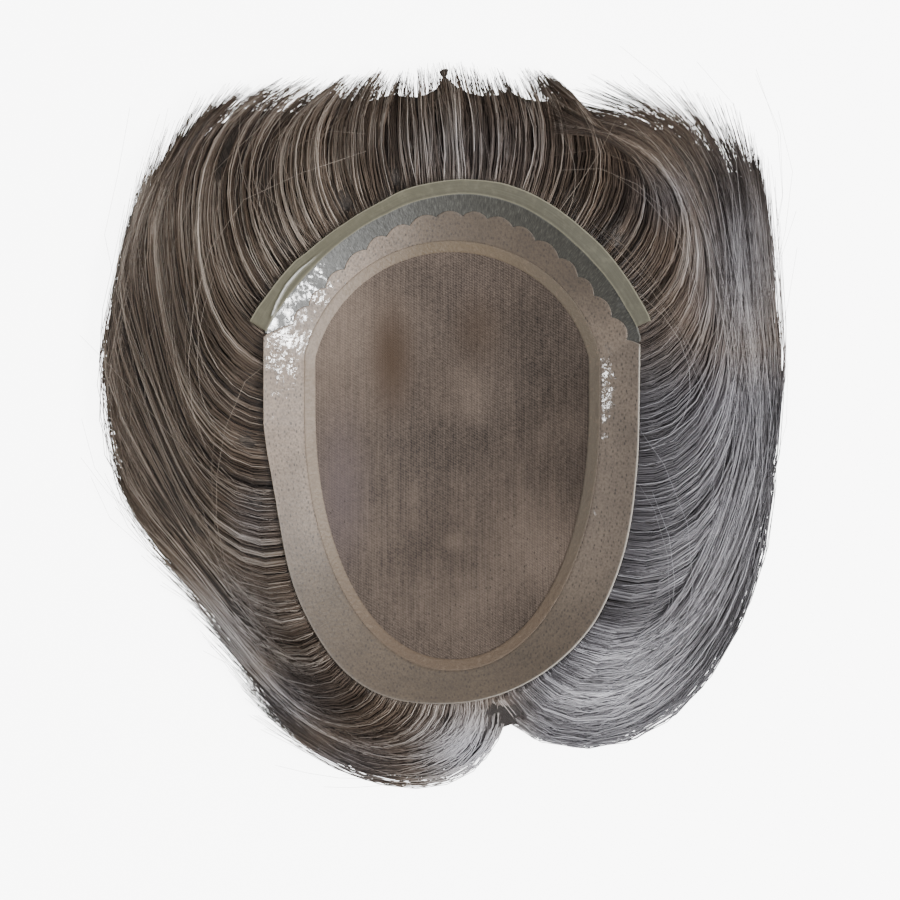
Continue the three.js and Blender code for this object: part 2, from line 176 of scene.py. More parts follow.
def alongArc(angle):
    x, y = polar(angle, capEdge(angle))
    arcAngle = (angleOf(x, y - arcCentre) + 90) % 360 - 90
    return np.radians(arcAngle - cornerAngle) * frontRadius


def scallopInset(angle):
    angles, insets = zip(*scallopPoints)
    turn = np.asarray(angle) % 360
    count = np.interp(turn, angles, np.arange(len(angles)))
    isScallop = (count > 1) & (count < len(angles) - 2)
    bulge = np.abs(np.sin(count * np.pi)) ** 0.8 * isScallop
    return np.interp(turn, angles, insets) - cap["scallopDepth"] * bulge


def borderEdge(angle):
    return capEdge(angle) - scallopInset(angle)


def rimTop(angle):
    return cap["rimHeight"] + cap["rimWave"] * np.cos(2 * np.radians(angle))


def capTop(x, y):
    angle = angleOf(x, y)
    share = np.clip(np.hypot(x, y) / capEdge(angle), 0, 1)
    height = cap["crownTop"] + (rimTop(angle) - cap["crownTop"]) * share**2
    for dentX, dentY, reach, depth in panelDents:
        height = height - depth * (1 - smooth(np.hypot(x - dentX, y - dentY), 0, reach))
    return height


def filmEdge(angle):
    return capEdge(angle) + np.interp(np.asarray(angle) % 360, *zip(*filmReach))


# Angles along the front, with the same number of steps in each scallop
def scallopAngles(steps):
    angles = [point[0] for point in scallopPoints]
    places = np.arange(len(angles))
    return np.interp(np.linspace(0, places[-1], places[-1] * steps + 1), places, angles)


def addNode(tree, kind, **settings):
    node = tree.nodes.new(kind)
    for name, value in settings.items():
        setattr(node, name, value)
    return node


def feed(tree, socket, value):
    if isinstance(value, bpy.types.NodeSocket):
        tree.links.new(value, socket)
    else:
        socket.default_value = value


def maths(tree, operation, first, second=0.0, third=0.0):
    node = addNode(tree, "ShaderNodeMath", operation=operation)
    for socket, value in zip(node.inputs, (first, second, third)):
        feed(tree, socket, value)
    return node.outputs[0]


def ranged(tree, value, low, high, newLow=0.0, newHigh=1.0):
    node = addNode(tree, "ShaderNodeMapRange")
    node.interpolation_type = "SMOOTHSTEP"
    for socket, given in zip(node.inputs, (value, low, high, newLow, newHigh)):
        feed(tree, socket, given)
    return node.outputs[0]


def mixed(tree, share, first, second):
    node = addNode(tree, "ShaderNodeMix", data_type="RGBA")
    feed(tree, node.inputs["Factor"], share)
    feed(tree, node.inputs["A"], first)
    feed(tree, node.inputs["B"], second)
    return node.outputs["Result"]


def scaled(tree, place, size, turn=0.0):
    node = addNode(tree, "ShaderNodeMapping")
    tree.links.new(place, node.inputs["Vector"])
    node.inputs["Scale"].default_value = size
    node.inputs["Rotation"].default_value = (0, 0, math.radians(turn))
    return node.outputs[0]


def noise(tree, place, scale, detail=2.0, roughness=0.5):
    node = addNode(tree, "ShaderNodeTexNoise")
    tree.links.new(place, node.inputs["Vector"])
    node.inputs["Scale"].default_value = scale
    node.inputs["Detail"].default_value = detail
    node.inputs["Roughness"].default_value = roughness
    return node.outputs[0]


def spot(tree, place, centre, reach):
    flat = addNode(tree, "ShaderNodeVectorMath", operation="MULTIPLY")
    tree.links.new(place, flat.inputs[0])
    flat.inputs[1].default_value = (1 / reach[0], 1 / reach[1], 0)
    away = addNode(tree, "ShaderNodeVectorMath", operation="DISTANCE")
    tree.links.new(flat.outputs[0], away.inputs[0])
    away.inputs[1].default_value = (centre[0] / reach[0], centre[1] / reach[1], 0)
    return ranged(tree, away.outputs["Value"], 0.0, 1.0, 1.0, 0.0)


def newMaterial(name, roughness, specular=0.5):
    material = bpy.data.materials.new(name)
    material.use_nodes = True
    tree = material.node_tree
    tree.nodes.clear()
    output = addNode(tree, "ShaderNodeOutputMaterial")
    shader = addNode(tree, "ShaderNodeBsdfPrincipled")
    tree.links.new(shader.outputs[0], output.inputs[0])
    shader.inputs["Roughness"].default_value = roughness
    shader.inputs["Specular IOR Level"].default_value = specular
    place = addNode(tree, "ShaderNodeTexCoord").outputs["Object"]
    return material, tree, shader, place


def bumped(tree, shader, height, distance, strength=1.0):
    node = addNode(tree, "ShaderNodeBump")
    node.inputs["Strength"].default_value = strength
    node.inputs["Distance"].default_value = distance
    tree.links.new(height, node.inputs["Height"])
    tree.links.new(node.outputs[0], shader.inputs["Normal"])


# A flat grid, as its object and its points' shares along and across
def addGrid(name, columns, rings):
    bpy.ops.object.select_all(action="DESELECT")
    bpy.ops.mesh.primitive_grid_add(x_subdivisions=columns, y_subdivisions=rings, size=1)
    piece = bpy.context.object
    piece.name = name
    piece.data.name = name
    corners = np.zeros(len(piece.data.vertices) * 3)
    piece.data.vertices.foreach_get("co", corners)
    corners = corners.reshape(-1, 3)
    return piece, corners[:, 0] + 0.5, corners[:, 1] + 0.5


# Turns a shaped grid into a thin closed wall that hangs below its upper side
def makeWall(piece, x, y, z, wall, edge):
    piece.data.vertices.foreach_set("co", np.stack([x, y, z], axis=1).ravel())
    piece.data.update()
    bpy.ops.object.mode_set(mode="EDIT")
    bpy.ops.mesh.select_all(action="SELECT")
    bpy.ops.mesh.remove_doubles(threshold=0.00001)
    bpy.ops.mesh.normals_make_consistent(inside=False)
    bpy.ops.object.mode_set(mode="OBJECT")
    if sum(face.normal.z for face in piece.data.polygons) < 0:
        piece.data.flip_normals()
    solid = piece.modifiers.new("wall", "SOLIDIFY")
    solid.thickness = wall
    solid.offset = -1
    bpy.ops.object.modifier_apply(modifier=solid.name)
    if edge:
        bevel = piece.modifiers.new("edge", "BEVEL")
        bevel.width = edge
        bevel.segments = 2
        bevel.limit_method = "ANGLE"
        bevel.angle_limit = math.radians(50)
        bpy.ops.object.modifier_apply(modifier=bevel.name)
    bpy.ops.object.shade_smooth_by_angle(angle=math.radians(50))


def finishPiece(piece, material, slotName, *nodes):
    piece.data.materials.clear()
    piece.data.materials.append(material)
    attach(piece, "root")
    if nodes:
        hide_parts(*nodes)
    print("  made", piece.name, len(piece.data.polygons), "faces")


# The woven mesh panel, on a square grid that is turned round into the panel's outline
monoPanel = {
    "grid": 84,
    "wall": 0.0006,
    "pitch": 0.0013,
    "lightColour": (0.148, 0.111, 0.087, 1),
    "darkColour": (0.012, 0.008, 0.006, 1),
    "dentShadowColour": (0.042, 0.024, 0.013, 1),
    "purpleColour": (0.090, 0.068, 0.070, 1),
    # Painted shade in the two deepest dents: the centre, the reach across and along, and how dark
    "dentShadows": [((-0.0300, 0.046), (0.016, 0.040), 0.95), ((0.0120, 0.060), (0.018, 0.026), 0.45)],
    "roughness": 0.75,
    "flat": (0.142, 0.210),
    "area": 0.0222,
    # Painted light and shade, as lighter and darker stretches over the panel's slopes, dents and ridges: the
    # centre, the reach across and along, and how much lighter
    "paintedLightAndShade": [
        ((-0.060, 0.060), (0.050, 0.070), 0.38),
        ((-0.062, -0.020), (0.035, 0.090), -0.02),
        ((0.048, -0.050), (0.045, 0.040), 0.44),
        ((0.000, -0.080), (0.060, 0.035), 0.16),
        ((0.050, 0.050), (0.050, 0.060), -0.10),
        ((0.000, 0.000), (0.035, 0.030), -0.10),
        ((0.010, 0.028), (0.016, 0.022), 0.14),
        ((0.002, -0.045), (0.010, 0.008), 0.22),
    ],
}


def monoMaterial():
    material, tree, shader, place = newMaterial("wovenMono", monoPanel["roughness"], 0.3)
    pitch = monoPanel["pitch"]
    split = addNode(tree, "ShaderNodeSeparateXYZ")
    tree.links.new(place, split.inputs[0])
    x, y = split.outputs[0], split.outputs[1]
    wobble = maths(tree, "MULTIPLY", noise(tree, place, 90, 2), 0.0009)
    turns = 2 * math.pi / pitch
    columns = maths(tree, "SINE", maths(tree, "MULTIPLY", maths(tree, "ADD", x, wobble), turns))
    slant = maths(tree, "ADD", maths(tree, "MULTIPLY_ADD", x, 0.55, y), wobble)
    zigzag = maths(tree, "MULTIPLY", maths(tree, "ABSOLUTE", columns), 0.0004)
    rows = maths(tree, "SINE", maths(tree, "MULTIPLY", maths(tree, "ADD", slant, zigzag), turns))
    weave = maths(tree, "MULTIPLY_ADD", columns, 0.4, maths(tree, "MULTIPLY", rows, 0.6))
    stripes = noise(tree, scaled(tree, place, (620, 22, 1)), 1.0, 2)
    light = maths(tree, "MULTIPLY_ADD", noise(tree, place, 38, 4, 0.6), 0.55, -0.01)
    light = maths(tree, "MULTIPLY_ADD", weave, 0.15, light)
    flecks = noise(tree, place, 700, 3, 0.6)
    light = maths(tree, "MULTIPLY_ADD", flecks, 0.70, maths(tree, "SUBTRACT", light, 0.46))
    light = maths(tree, "MULTIPLY_ADD", stripes, 0.42, light)
    # Painted light and shade over the panel
    for centre, reach, amount in monoPanel["paintedLightAndShade"]:
        light = maths(tree, "MULTIPLY_ADD", spot(tree, place, centre, reach), amount, light)
    colour = mixed(tree, light, monoPanel["darkColour"], monoPanel["lightColour"])
    # Painted shade where the panel dips in its two deepest dents
    for centre, reach, amount in monoPanel["dentShadows"]:
        dentShadow = maths(tree, "MULTIPLY", spot(tree, place, centre, reach), amount)
        colour = mixed(tree, dentShadow, colour, monoPanel["dentShadowColour"])
    purple = spot(tree, place, (-0.055, -0.02), (0.02, 0.06))
    colour = mixed(tree, maths(tree, "MULTIPLY", purple, 0.5), colour, monoPanel["purpleColour"])
    knots = addNode(tree, "ShaderNodeTexVoronoi")
    tree.links.new(scaled(tree, place, (1.0, 0.6, 1.0), 25), knots.inputs["Vector"])
    knots.inputs["Scale"].default_value = 460
    isKnot = ranged(tree, knots.outputs["Distance"], 0.10, 0.24, 1.0, 0.0)
    pick = addNode(tree, "ShaderNodeSeparateColor")
    tree.links.new(knots.outputs["Color"], pick.inputs[0])
    isKnot = maths(tree, "MULTIPLY", isKnot, ranged(tree, pick.outputs[0], 0.45, 0.60))
    isLow = ranged(tree, y, 0.03, -0.04, 0.10, 0.75)
    colour = mixed(tree, maths(tree, "MULTIPLY", isKnot, isLow), colour, (0.026, 0.020, 0.017, 1))
    tree.links.new(colour, shader.inputs["Base Color"])
    bumped(tree, shader, weave, 0.00012, 0.8)
    return material


def makeMonoPanel():
    piece, across, along = addGrid("monoPanel", monoPanel["grid"], monoPanel["grid"])
    u = 2 * across - 1
    v = 2 * along - 1
    reach = np.maximum(np.abs(u), np.abs(v))
    safe = np.where(reach == 0, 1, reach)
    isSide = np.abs(u) >= np.abs(v)
    turn = np.where(isSide, 45 * v / safe * np.sign(u + (u == 0)), 90 - 45 * u / safe * np.sign(v + (v == 0)))
    angle = turn + np.where(isSide, np.where(u < 0, 180, 0), np.where(v < 0, 180, 0))
    x, y = polar(angle, reach * panelEdge(angle))
    grain = 0.00012 * np.sin(x * 900 + 3 * np.sin(y * 60)) * np.sin(y * 310 + x * 150)
    makeWall(piece, x, y, capTop(x, y) + grain, monoPanel["wall"], 0)
    finishPiece(piece, monoMaterial(), "mono_mesh", "mono_panel")
    return piece


monoPiece = makeMonoPanel()

# The skin border, with its scallops in front, and the tape over its seam with the mesh panel
skinBorder = {
    "columns": 14,
    "rings": 12,
    "wall": 0.0006,
    # The left colour holds painted light and the right colour painted shade; the front and rear colours are
    # darker still
    "litLeftColour": (0.232, 0.174, 0.129, 1),
    "shadedRightColour": (0.178, 0.136, 0.102, 1),
    "frontColour": (0.084, 0.063, 0.045, 1),
    "rearColour": (0.092, 0.069, 0.048, 1),
    "dotColour": (0.036, 0.028, 0.023, 1),
    # The colour of the painted highlight along the outer edge
    "rimHighlightColour": (0.420, 0.390, 0.340, 1),
    "pitch": 0.0016,
    "roughness": 0.50,
    "flat": (0.0195, 0.58),
    "area": 0.0113,
}
seamTape = {
    "columns": 240,
    "rings": 6,
    "wall": 0.0006,
    "overlap": 0.0004,
    "lift": 0.0002,
    # The left colour holds painted light and the right colour painted shade
    "litLeftColour": (0.185, 0.140, 0.102, 1),
    "frontColour": (0.104, 0.076, 0.048, 1),
    "shadedRightColour": (0.096, 0.076, 0.054, 1),
    "rearColour": (0.098, 0.068, 0.045, 1),
    "roughness": 0.5,
}

# Where the light catches the wrinkled skin: x, y and reach across and along, in metres
glossSpots = [
    ((-0.082, 0.056), (0.030, 0.048)),
    ((-0.070, 0.080), (0.028, 0.026)),
    ((0.0750, 0.032), (0.0080, 0.042)),
    ((0.0845, 0.070), (0.0090, 0.022)),
]


def crinkle(x, y):
    share = np.exp(-(((x + 0.074) / 0.020) ** 2) - ((y - 0.052) / 0.038) ** 2)
    share = share + 0.6 * np.exp(-(((x - 0.074) / 0.008) ** 2) - ((y - 0.03) / 0.03) ** 2)
    waves = np.sin(x * 900 + 2.2 * np.sin(y * 230)) * np.sin(y * 520 + 2.6 * np.sin(x * 340))
    waves = waves + 0.6 * np.sin(x * 1500 - y * 1100 + 2 * np.sin(y * 400))
    return 0.00010 * share * waves


# A wet-looking crumpled coat where the light catches the skin
def addGloss(tree, shader, place, scale):
    gloss = spot(tree, place, *glossSpots[0])
    for centre, reach in glossSpots[1:]:
        gloss = maths(tree, "MAXIMUM", gloss, spot(tree, place, centre, reach))
    patches = noise(tree, place, 210, 3, 0.6)
    patchy = maths(tree, "MULTIPLY_ADD", patches, 3.0, maths(tree, "SUBTRACT", gloss, 2.02))
    tree.links.new(ranged(tree, patchy, 0.0, 0.9, 0.0, 0.80), shader.inputs["Coat Weight"])
    shader.inputs["Coat Roughness"].default_value = 0.12
    shader.inputs["Coat IOR"].default_value = 2.0
    bumped(tree, shader, noise(tree, place, scale, 3, 0.6), 0.0002, 1.0)
    coat = addNode(tree, "ShaderNodeBump")
    coat.inputs["Distance"].default_value = 0.0003
    tree.links.new(noise(tree, place, scale * 0.7, 1, 0.5), coat.inputs["Height"])
    tree.links.new(coat.outputs[0], shader.inputs["Coat Normal"])


def skinMaterial(name, colours, roughness):
    material, tree, shader, place = newMaterial(name, roughness, 0.5)
    split = addNode(tree, "ShaderNodeSeparateXYZ")
    tree.links.new(place, split.inputs[0])
    x, y = split.outputs[0], split.outputs[1]
    # Painted light on the left side and painted shade on the right, darker towards the front and the rear
    front = mixed(tree, ranged(tree, y, 0.055, 0.085), colours["shadedRightColour"], colours["frontColour"])
    isLitLeft = maths(tree, "MULTIPLY", ranged(tree, x, 0.0, -0.055), ranged(tree, y, -0.070, 0.035))
    slanted = maths(tree, "MULTIPLY_ADD", x, 0.25, y)
    rear = mixed(tree, ranged(tree, slanted, -0.025, -0.095), front, colours["rearColour"])
    colour = mixed(tree, isLitLeft, rear, colours["litLeftColour"])
    cloudy = noise(tree, place, 55, 4, 0.6)
    colour = mixed(tree, ranged(tree, cloudy, 0.35, 0.75, 0.0, 0.30), colour, colours["dotColour"])
    grain = ranged(tree, noise(tree, place, 850, 3, 0.6), 0.36, 0.62, 0.38, 0.0)
    colour = mixed(tree, grain, colour, colours["dotColour"])
    dots = addNode(tree, "ShaderNodeTexVoronoi")
    tree.links.new(scaled(tree, place, (1.0, 0.6, 1.0), 38), dots.inputs["Vector"])
    dots.inputs["Scale"].default_value = 1 / colours["pitch"]
    dots.inputs["Randomness"].default_value = 0.55
    isDot = ranged(tree, dots.outputs["Distance"], 0.12, 0.42, 1.0, 0.0)
    some = ranged(tree, noise(tree, place, 230, 2), 0.40, 0.66, 0.60, 1.0)
    isDark = maths(tree, "MULTIPLY", isDot, some)
    colour = mixed(tree, maths(tree, "MULTIPLY", isDark, 0.90), colour, colours["dotColour"])
    shares = addNode(tree, "ShaderNodeSeparateXYZ")
    tree.links.new(addNode(tree, "ShaderNodeUVMap", uv_map="UVMap").outputs[0], shares.inputs[0])
    # A painted highlight along the outer edge, strongest on the right and left out at the front
    rimHighlight = maths(
        tree, "MULTIPLY", ranged(tree, shares.outputs[1], 0.960, 0.990), ranged(tree, y, 0.056, 0.048)
    )
    rimHighlight = maths(tree, "MULTIPLY", rimHighlight, ranged(tree, x, -0.03, 0.06, 0.10, 0.65))
    colour = mixed(tree, rimHighlight, colour, colours["rimHighlightColour"])
    tree.links.new(colour, shader.inputs["Base Color"])
    addGloss(tree, shader, place, 520)
    return material


def makeRing(name, angles, inner, outer, rings, wall, edge, lift=0.0):
    piece, along, across = addGrid(name, len(angles) - 1, rings)
    angle = np.interp(along, np.linspace(0, 1, len(angles)), angles)
    radius = inner(angle) + (outer(angle) - inner(angle)) * across
    x, y = polar(angle, radius)
    makeWall(piece, x, y, capTop(x, y) + lift + crinkle(x, y), wall, edge)
    return piece


def makeSkinBorder():
    front = scallopAngles(skinBorder["columns"])
    rear = np.linspace(front[-1], front[0] + 360, 241)[1:]
    piece = makeRing(
        "skinBorder", np.concatenate([front, rear]), borderInner, borderEdge, skinBorder["rings"],
        skinBorder["wall"], 0.0002,
    )
    borderFinish = skinMaterial("borderSkin", skinBorder, skinBorder["roughness"])
    finishPiece(piece, borderFinish, "skin_coating", "skin_border")
    return piece


def tapeMaterial():
    material, tree, shader, place = newMaterial("seamTape", seamTape["roughness"], 0.4)
    split = addNode(tree, "ShaderNodeSeparateXYZ")
    tree.links.new(place, split.inputs[0])
    x, y = split.outputs[0], split.outputs[1]
    # Painted light on the left side and painted shade on the right
    colour = mixed(tree, ranged(tree, x, 0.01, 0.055), seamTape["frontColour"], seamTape["shadedRightColour"])
    isLitLeft = maths(tree, "MULTIPLY", ranged(tree, x, -0.01, -0.055), ranged(tree, y, -0.10, 0.02))
    colour = mixed(tree, ranged(tree, y, -0.02, -0.09), colour, seamTape["rearColour"])
    colour = mixed(tree, isLitLeft, colour, seamTape["litLeftColour"])
    blotch = noise(tree, place, 420, 4, 0.65)
    colour = mixed(tree, ranged(tree, blotch, 0.42, 0.70, 0.0, 0.50), colour, (0.060, 0.044, 0.032, 1))
    pale = noise(tree, place, 420, 3)
    colour = mixed(tree, ranged(tree, pale, 0.50, 0.75, 0.0, 0.20), colour, (0.30, 0.22, 0.15, 1))
    shares = addNode(tree, "ShaderNodeSeparateXYZ")
    tree.links.new(addNode(tree, "ShaderNodeUVMap", uv_map="UVMap").outputs[0], shares.inputs[0])
    # Painted shadow lines along both edges of the tape
    edgeShadow = maths(tree, "ABSOLUTE", maths(tree, "SUBTRACT", shares.outputs[1], 0.5))
    colour = mixed(tree, ranged(tree, edgeShadow, 0.36, 0.46, 0.0, 0.12), colour, (0.045, 0.033, 0.025, 1))
    tree.links.new(colour, shader.inputs["Base Color"])
    bumped(tree, shader, noise(tree, place, 700, 3), 0.0004, 0.7)
    return material


def makeSeamTape():
    angles = np.linspace(0, 360, seamTape["columns"] + 1)
    piece = makeRing(
        "seamTape", angles, lambda angle: seamInner(angle) - seamTape["overlap"],
        lambda angle: seamOuter(angle) + seamTape["overlap"], seamTape["rings"], seamTape["wall"], 0.0001,
        seamTape["lift"],
    )
    finishPiece(piece, tapeMaterial(), "seam_tape", "seam_tape")
    return piece


borderPiece = makeSkinBorder()
seamPiece = makeSeamTape()
print("stage 2: the cap's panel, border and seam are made")

# The clear skin in front of the scallops, and the film that runs on past it
clearSkin = {
    "columns": 14,
    "rings": 7,
    "wall": 0.0006,
    # The left colour holds painted light and the right colour painted shade
    "litLeftColour": (0.068, 0.068, 0.061, 1),
    "shadedRightColour": (0.050, 0.048, 0.039, 1),
    "strokeColour": (0.016, 0.015, 0.013, 1),
    # Pale strokes, and the colour of the painted highlight along the outer edge
    "paleStrokeAndRimHighlightColour": (0.170, 0.170, 0.150, 1),
    "tuck": 0.0015,
    "drop": 0.0003,
    "roughness": 0.45,
    "flat": (0.0125, 0.22),
    "area": 0.0024,
}
trimFilm = {
    "columns": 150,
    "rings": 14,
    "wall": 0.0003,
    # The left colour holds painted light and the right colour painted shade
    "litLeftColour": (0.092, 0.085, 0.054, 1),
    "shadedRightColour": (0.080, 0.076, 0.054, 1),
    # Dark streaks, and the colour of the painted shade in a groove near the inner edge
    "streakAndGrooveShadeColour": (0.052, 0.047, 0.032, 1),
    # A pale mottle, and the colour of the painted highlights along both edges
    "mottleAndEdgeHighlightColour": (0.220, 0.205, 0.145, 1),
    # The colour of the painted highlight on the fold
    "foldHighlightColour": (0.480, 0.480, 0.450, 1),
    "roughness": 0.38,
    # The line of its fold as a share of its width, by places along the arc from its right end
    "foldLine": [(0.188, 0.40), (0.204, 0.43), (0.2135, 0.47), (0.220, 0.47), (0.229, 0.33), (0.2375, 0.08)],
}


def clearSkinMaterial():
    material, tree, shader, place = newMaterial("clearSkin", clearSkin["roughness"], 0.5)
    split = addNode(tree, "ShaderNodeSeparateXYZ")
    tree.links.new(place, split.inputs[0])
    shares = addNode(tree, "ShaderNodeUVMap", uv_map="UVMap").outputs[0]
    strokes = noise(tree, scaled(tree, shares, (620, 3.0, 1)), 1.0, 3, 0.65)
    # Painted light on the left side and painted shade on the right
    shadedSideShare = ranged(tree, split.outputs[0], -0.06, 0.06)
    colour = mixed(tree, shadedSideShare, clearSkin["litLeftColour"], clearSkin["shadedRightColour"])
    colour = mixed(tree, ranged(tree, strokes, 0.42, 0.62, 0.75, 0.0), colour, clearSkin["strokeColour"])
    colour = mixed(tree, ranged(tree, strokes, 0.58, 0.75, 0.0, 0.5), colour, clearSkin["paleStrokeAndRimHighlightColour"])
    part = addNode(tree, "ShaderNodeSeparateXYZ")
    tree.links.new(shares, part.inputs[0])
    # A painted highlight along the outer edge
    rimHighlight = ranged(tree, part.outputs[1], 0.90, 0.97, 0.0, 0.55)
    colour = mixed(tree, rimHighlight, colour, clearSkin["paleStrokeAndRimHighlightColour"])
    tree.links.new(colour, shader.inputs["Base Color"])
    addGloss(tree, shader, place, 480)
    return material


def makeClearSkin():
    angles = scallopAngles(clearSkin["columns"])
    angles = angles[scallopInset(angles) > cap["wall"] + 0.00035]
    piece = makeRing(
        "frontClearSkin", angles, lambda angle: borderEdge(angle) - clearSkin["tuck"], capEdge,
        clearSkin["rings"], clearSkin["wall"], 0.0002, -clearSkin["drop"],
    )
    finishPiece(piece, clearSkinMaterial(), "clear_skin", "front_clear_skin")
    return piece


def filmMaterial():
    material, tree, shader, place = newMaterial("trimFilm", trimFilm["roughness"], 0.25)
    split = addNode(tree, "ShaderNodeSeparateXYZ")
    tree.links.new(place, split.inputs[0])
    shares = addNode(tree, "ShaderNodeUVMap", uv_map="UVMap").outputs[0]
    part = addNode(tree, "ShaderNodeSeparateXYZ")
    tree.links.new(shares, part.inputs[0])
    # Painted light on the left side and painted shade on the right
    shadedSideShare = ranged(tree, split.outputs[0], -0.06, 0.06)
    colour = mixed(tree, shadedSideShare, trimFilm["litLeftColour"], trimFilm["shadedRightColour"])
    streaks = noise(tree, scaled(tree, shares, (9, 30, 1)), 1.0, 3, 0.55)
    colour = mixed(tree, ranged(tree, streaks, 0.35, 0.65, 0.0, 0.55), colour, trimFilm["streakAndGrooveShadeColour"])
    mottle = noise(tree, place, 260, 3, 0.6)
    colour = mixed(tree, ranged(tree, mottle, 0.45, 0.70, 0.0, 0.12), colour, trimFilm["mottleAndEdgeHighlightColour"])
    across = part.outputs[1]
    # Painted shade in a groove along the film near its inner edge
    grooveShade = maths(tree, "MULTIPLY", ranged(tree, across, 0.10, 0.16), ranged(tree, across, 0.30, 0.20))
    colour = mixed(tree, maths(tree, "MULTIPLY", grooveShade, 0.35), colour, trimFilm["streakAndGrooveShadeColour"])
    # Painted highlights along the outer and the inner edge
    outer = ranged(tree, across, 0.90, 0.96, 0.0, 0.6)
    inner = ranged(tree, across, 0.10, 0.03, 0.0, 0.45)
    colour = mixed(tree, maths(tree, "MAXIMUM", outer, inner), colour, trimFilm["mottleAndEdgeHighlightColour"])
    # A painted highlight along the sharpest fold
    fold = addNode(tree, "ShaderNodeAttribute", attribute_name="fold").outputs["Fac"]
    colour = mixed(tree, ranged(tree, fold, 0.35, 0.95), colour, trimFilm["foldHighlightColour"])
    tree.links.new(colour, shader.inputs["Base Color"])
    bumped(tree, shader, noise(tree, place, 120, 3), 0.0008, 0.5)
    return material


# The film lies in long shallow folds. The sharpest runs slantwise across its left end.
def foldShare(run, across):
    places, lines = zip(*trimFilm["foldLine"])
    away = across - np.interp(run, places, lines)
    return np.exp(-((away / 0.07) ** 2)) * smooth(run, 0.186, 0.214) * smooth(run, 0.240, 0.234)


def makeTrimFilm():
    piece, along, across = addGrid("frontTrimFilm", trimFilm["columns"], trimFilm["rings"])
    low, high = cap["filmEnds"]
    angle = low + (high - low) * along + 0.7 * (0.5 - across) * np.exp(-along / 0.03)
    run = alongArc(angle)
    inner = capEdge(angle) - 0.0006
    x, y = polar(angle, inner + (filmEdge(angle) - inner) * across)
    fold = foldShare(run, across)
    ripple = 0.00015 * np.sin(run * 95) * across
    z = rimTop(angle) + cap["filmLift"] * across + 0.0008 * fold + ripple
    piece.data.attributes.new("fold", "FLOAT", "POINT").data.foreach_set("value", fold)
    makeWall(piece, x, y, z, trimFilm["wall"], 0.00008)
    finishPiece(piece, filmMaterial(), "trim_film", "front_trim_film")
    return piece


skinPiece = makeClearSkin()
filmPiece = makeTrimFilm()
print("stage 3: the clear skin and the film are made")

# The hair: rows of root angle, share of the length, and headings at start, a third, two thirds and tip
hair = {
    "length": 0.223,
    "rootTuck": 0.010,
    "skirtSpread": 0.080,
    "tipHeight": 0.0055,
    "hairGap": 0.0005,
    "radius": 0.00023,
    "tipRadius": 0.00008,
    "finePitch": 0.0016,
    "broadPitch": 0.0100,
    "depth": 0.0075,
    "stepGrowth": 1.4,
    "seed": 11,
    "roughness": 0.42,
    # Dark, middle and light hair: warm grey-brown, and a cool silver that is partly the hair's own grey and
    # partly painted cool light
    "warmColours": [(0.014, 0.008, 0.005, 1), (0.150, 0.108, 0.078, 1), (0.500, 0.430, 0.365, 1)],
    "coolColours": [(0.014, 0.012, 0.012, 1), (0.095, 0.089, 0.098, 1), (0.540, 0.530, 0.565, 1)],
    # How much longer the scene's hair is than the CAD model's locks, by root angle
    "tails": [
        (-78, 1.45), (-70, 1.52), (-62, 1.44), (-54, 1.31),
        (-46, 1.24), (-38, 1.18), (-30, 1.15), (-22, 1.13),
        (-14, 1.10), (-6, 1.13), (2, 1.16), (10, 1.18),
        (26, 1.15), (42, 1.20), (50, 1.22), (58, 1.14), (66, 1.03),
        (74, 0.98), (82, 0.92), (90, 0.89), (98, 0.96), (106, 1.05), (114, 1.08), (122, 1.16), (130, 1.18),
        (138, 1.12), (146, 1.07), (154, 1.09), (162, 1.08),
        (170, 1.13), (178, 1.18), (186, 1.23), (194, 1.25),
        (202, 1.27), (210, 1.30), (218, 1.34), (226, 1.40), (234, 1.22), (242, 1.08), (256, 1.0), (282, 1.0),
    ],
    # Cool silver stretches, partly painted cool light: the centre, the reach across and along, and how cool
    "coolTintSpots": [
        ((0.010, -0.150), (0.050, 0.040), 1.0),
        ((-0.085, -0.125), (0.045, 0.035), 0.7),
        ((-0.098, -0.035), (0.020, 0.030), 0.5),
        ((-0.112, -0.095), (0.045, 0.055), 0.55),
        ((-0.055, -0.156), (0.055, 0.022), 0.60),
        ((0.010, 0.148), (0.075, 0.034), 0.50),
        ((0.142, 0.095), (0.042, 0.100), 0.85),
        ((0.106, 0.124), (0.034, 0.028), 0.65),
    ],
}
spreads = [
    (-74, 0.22), (-66, 0.43), (-56, 0.62), (-40, 0.70), (-12, 0.76), (16, 0.85), (40, 0.96), (58, 0.92),
    (74, 0.76), (92, 0.72), (110, 0.80), (132, 1.10), (150, 1.02), (176, 0.92), (196, 0.76), (214, 0.45),
    (230, 0.34), (250, 0.38), (270, 0.38), (279, 0.15), (286, 0.22),
]
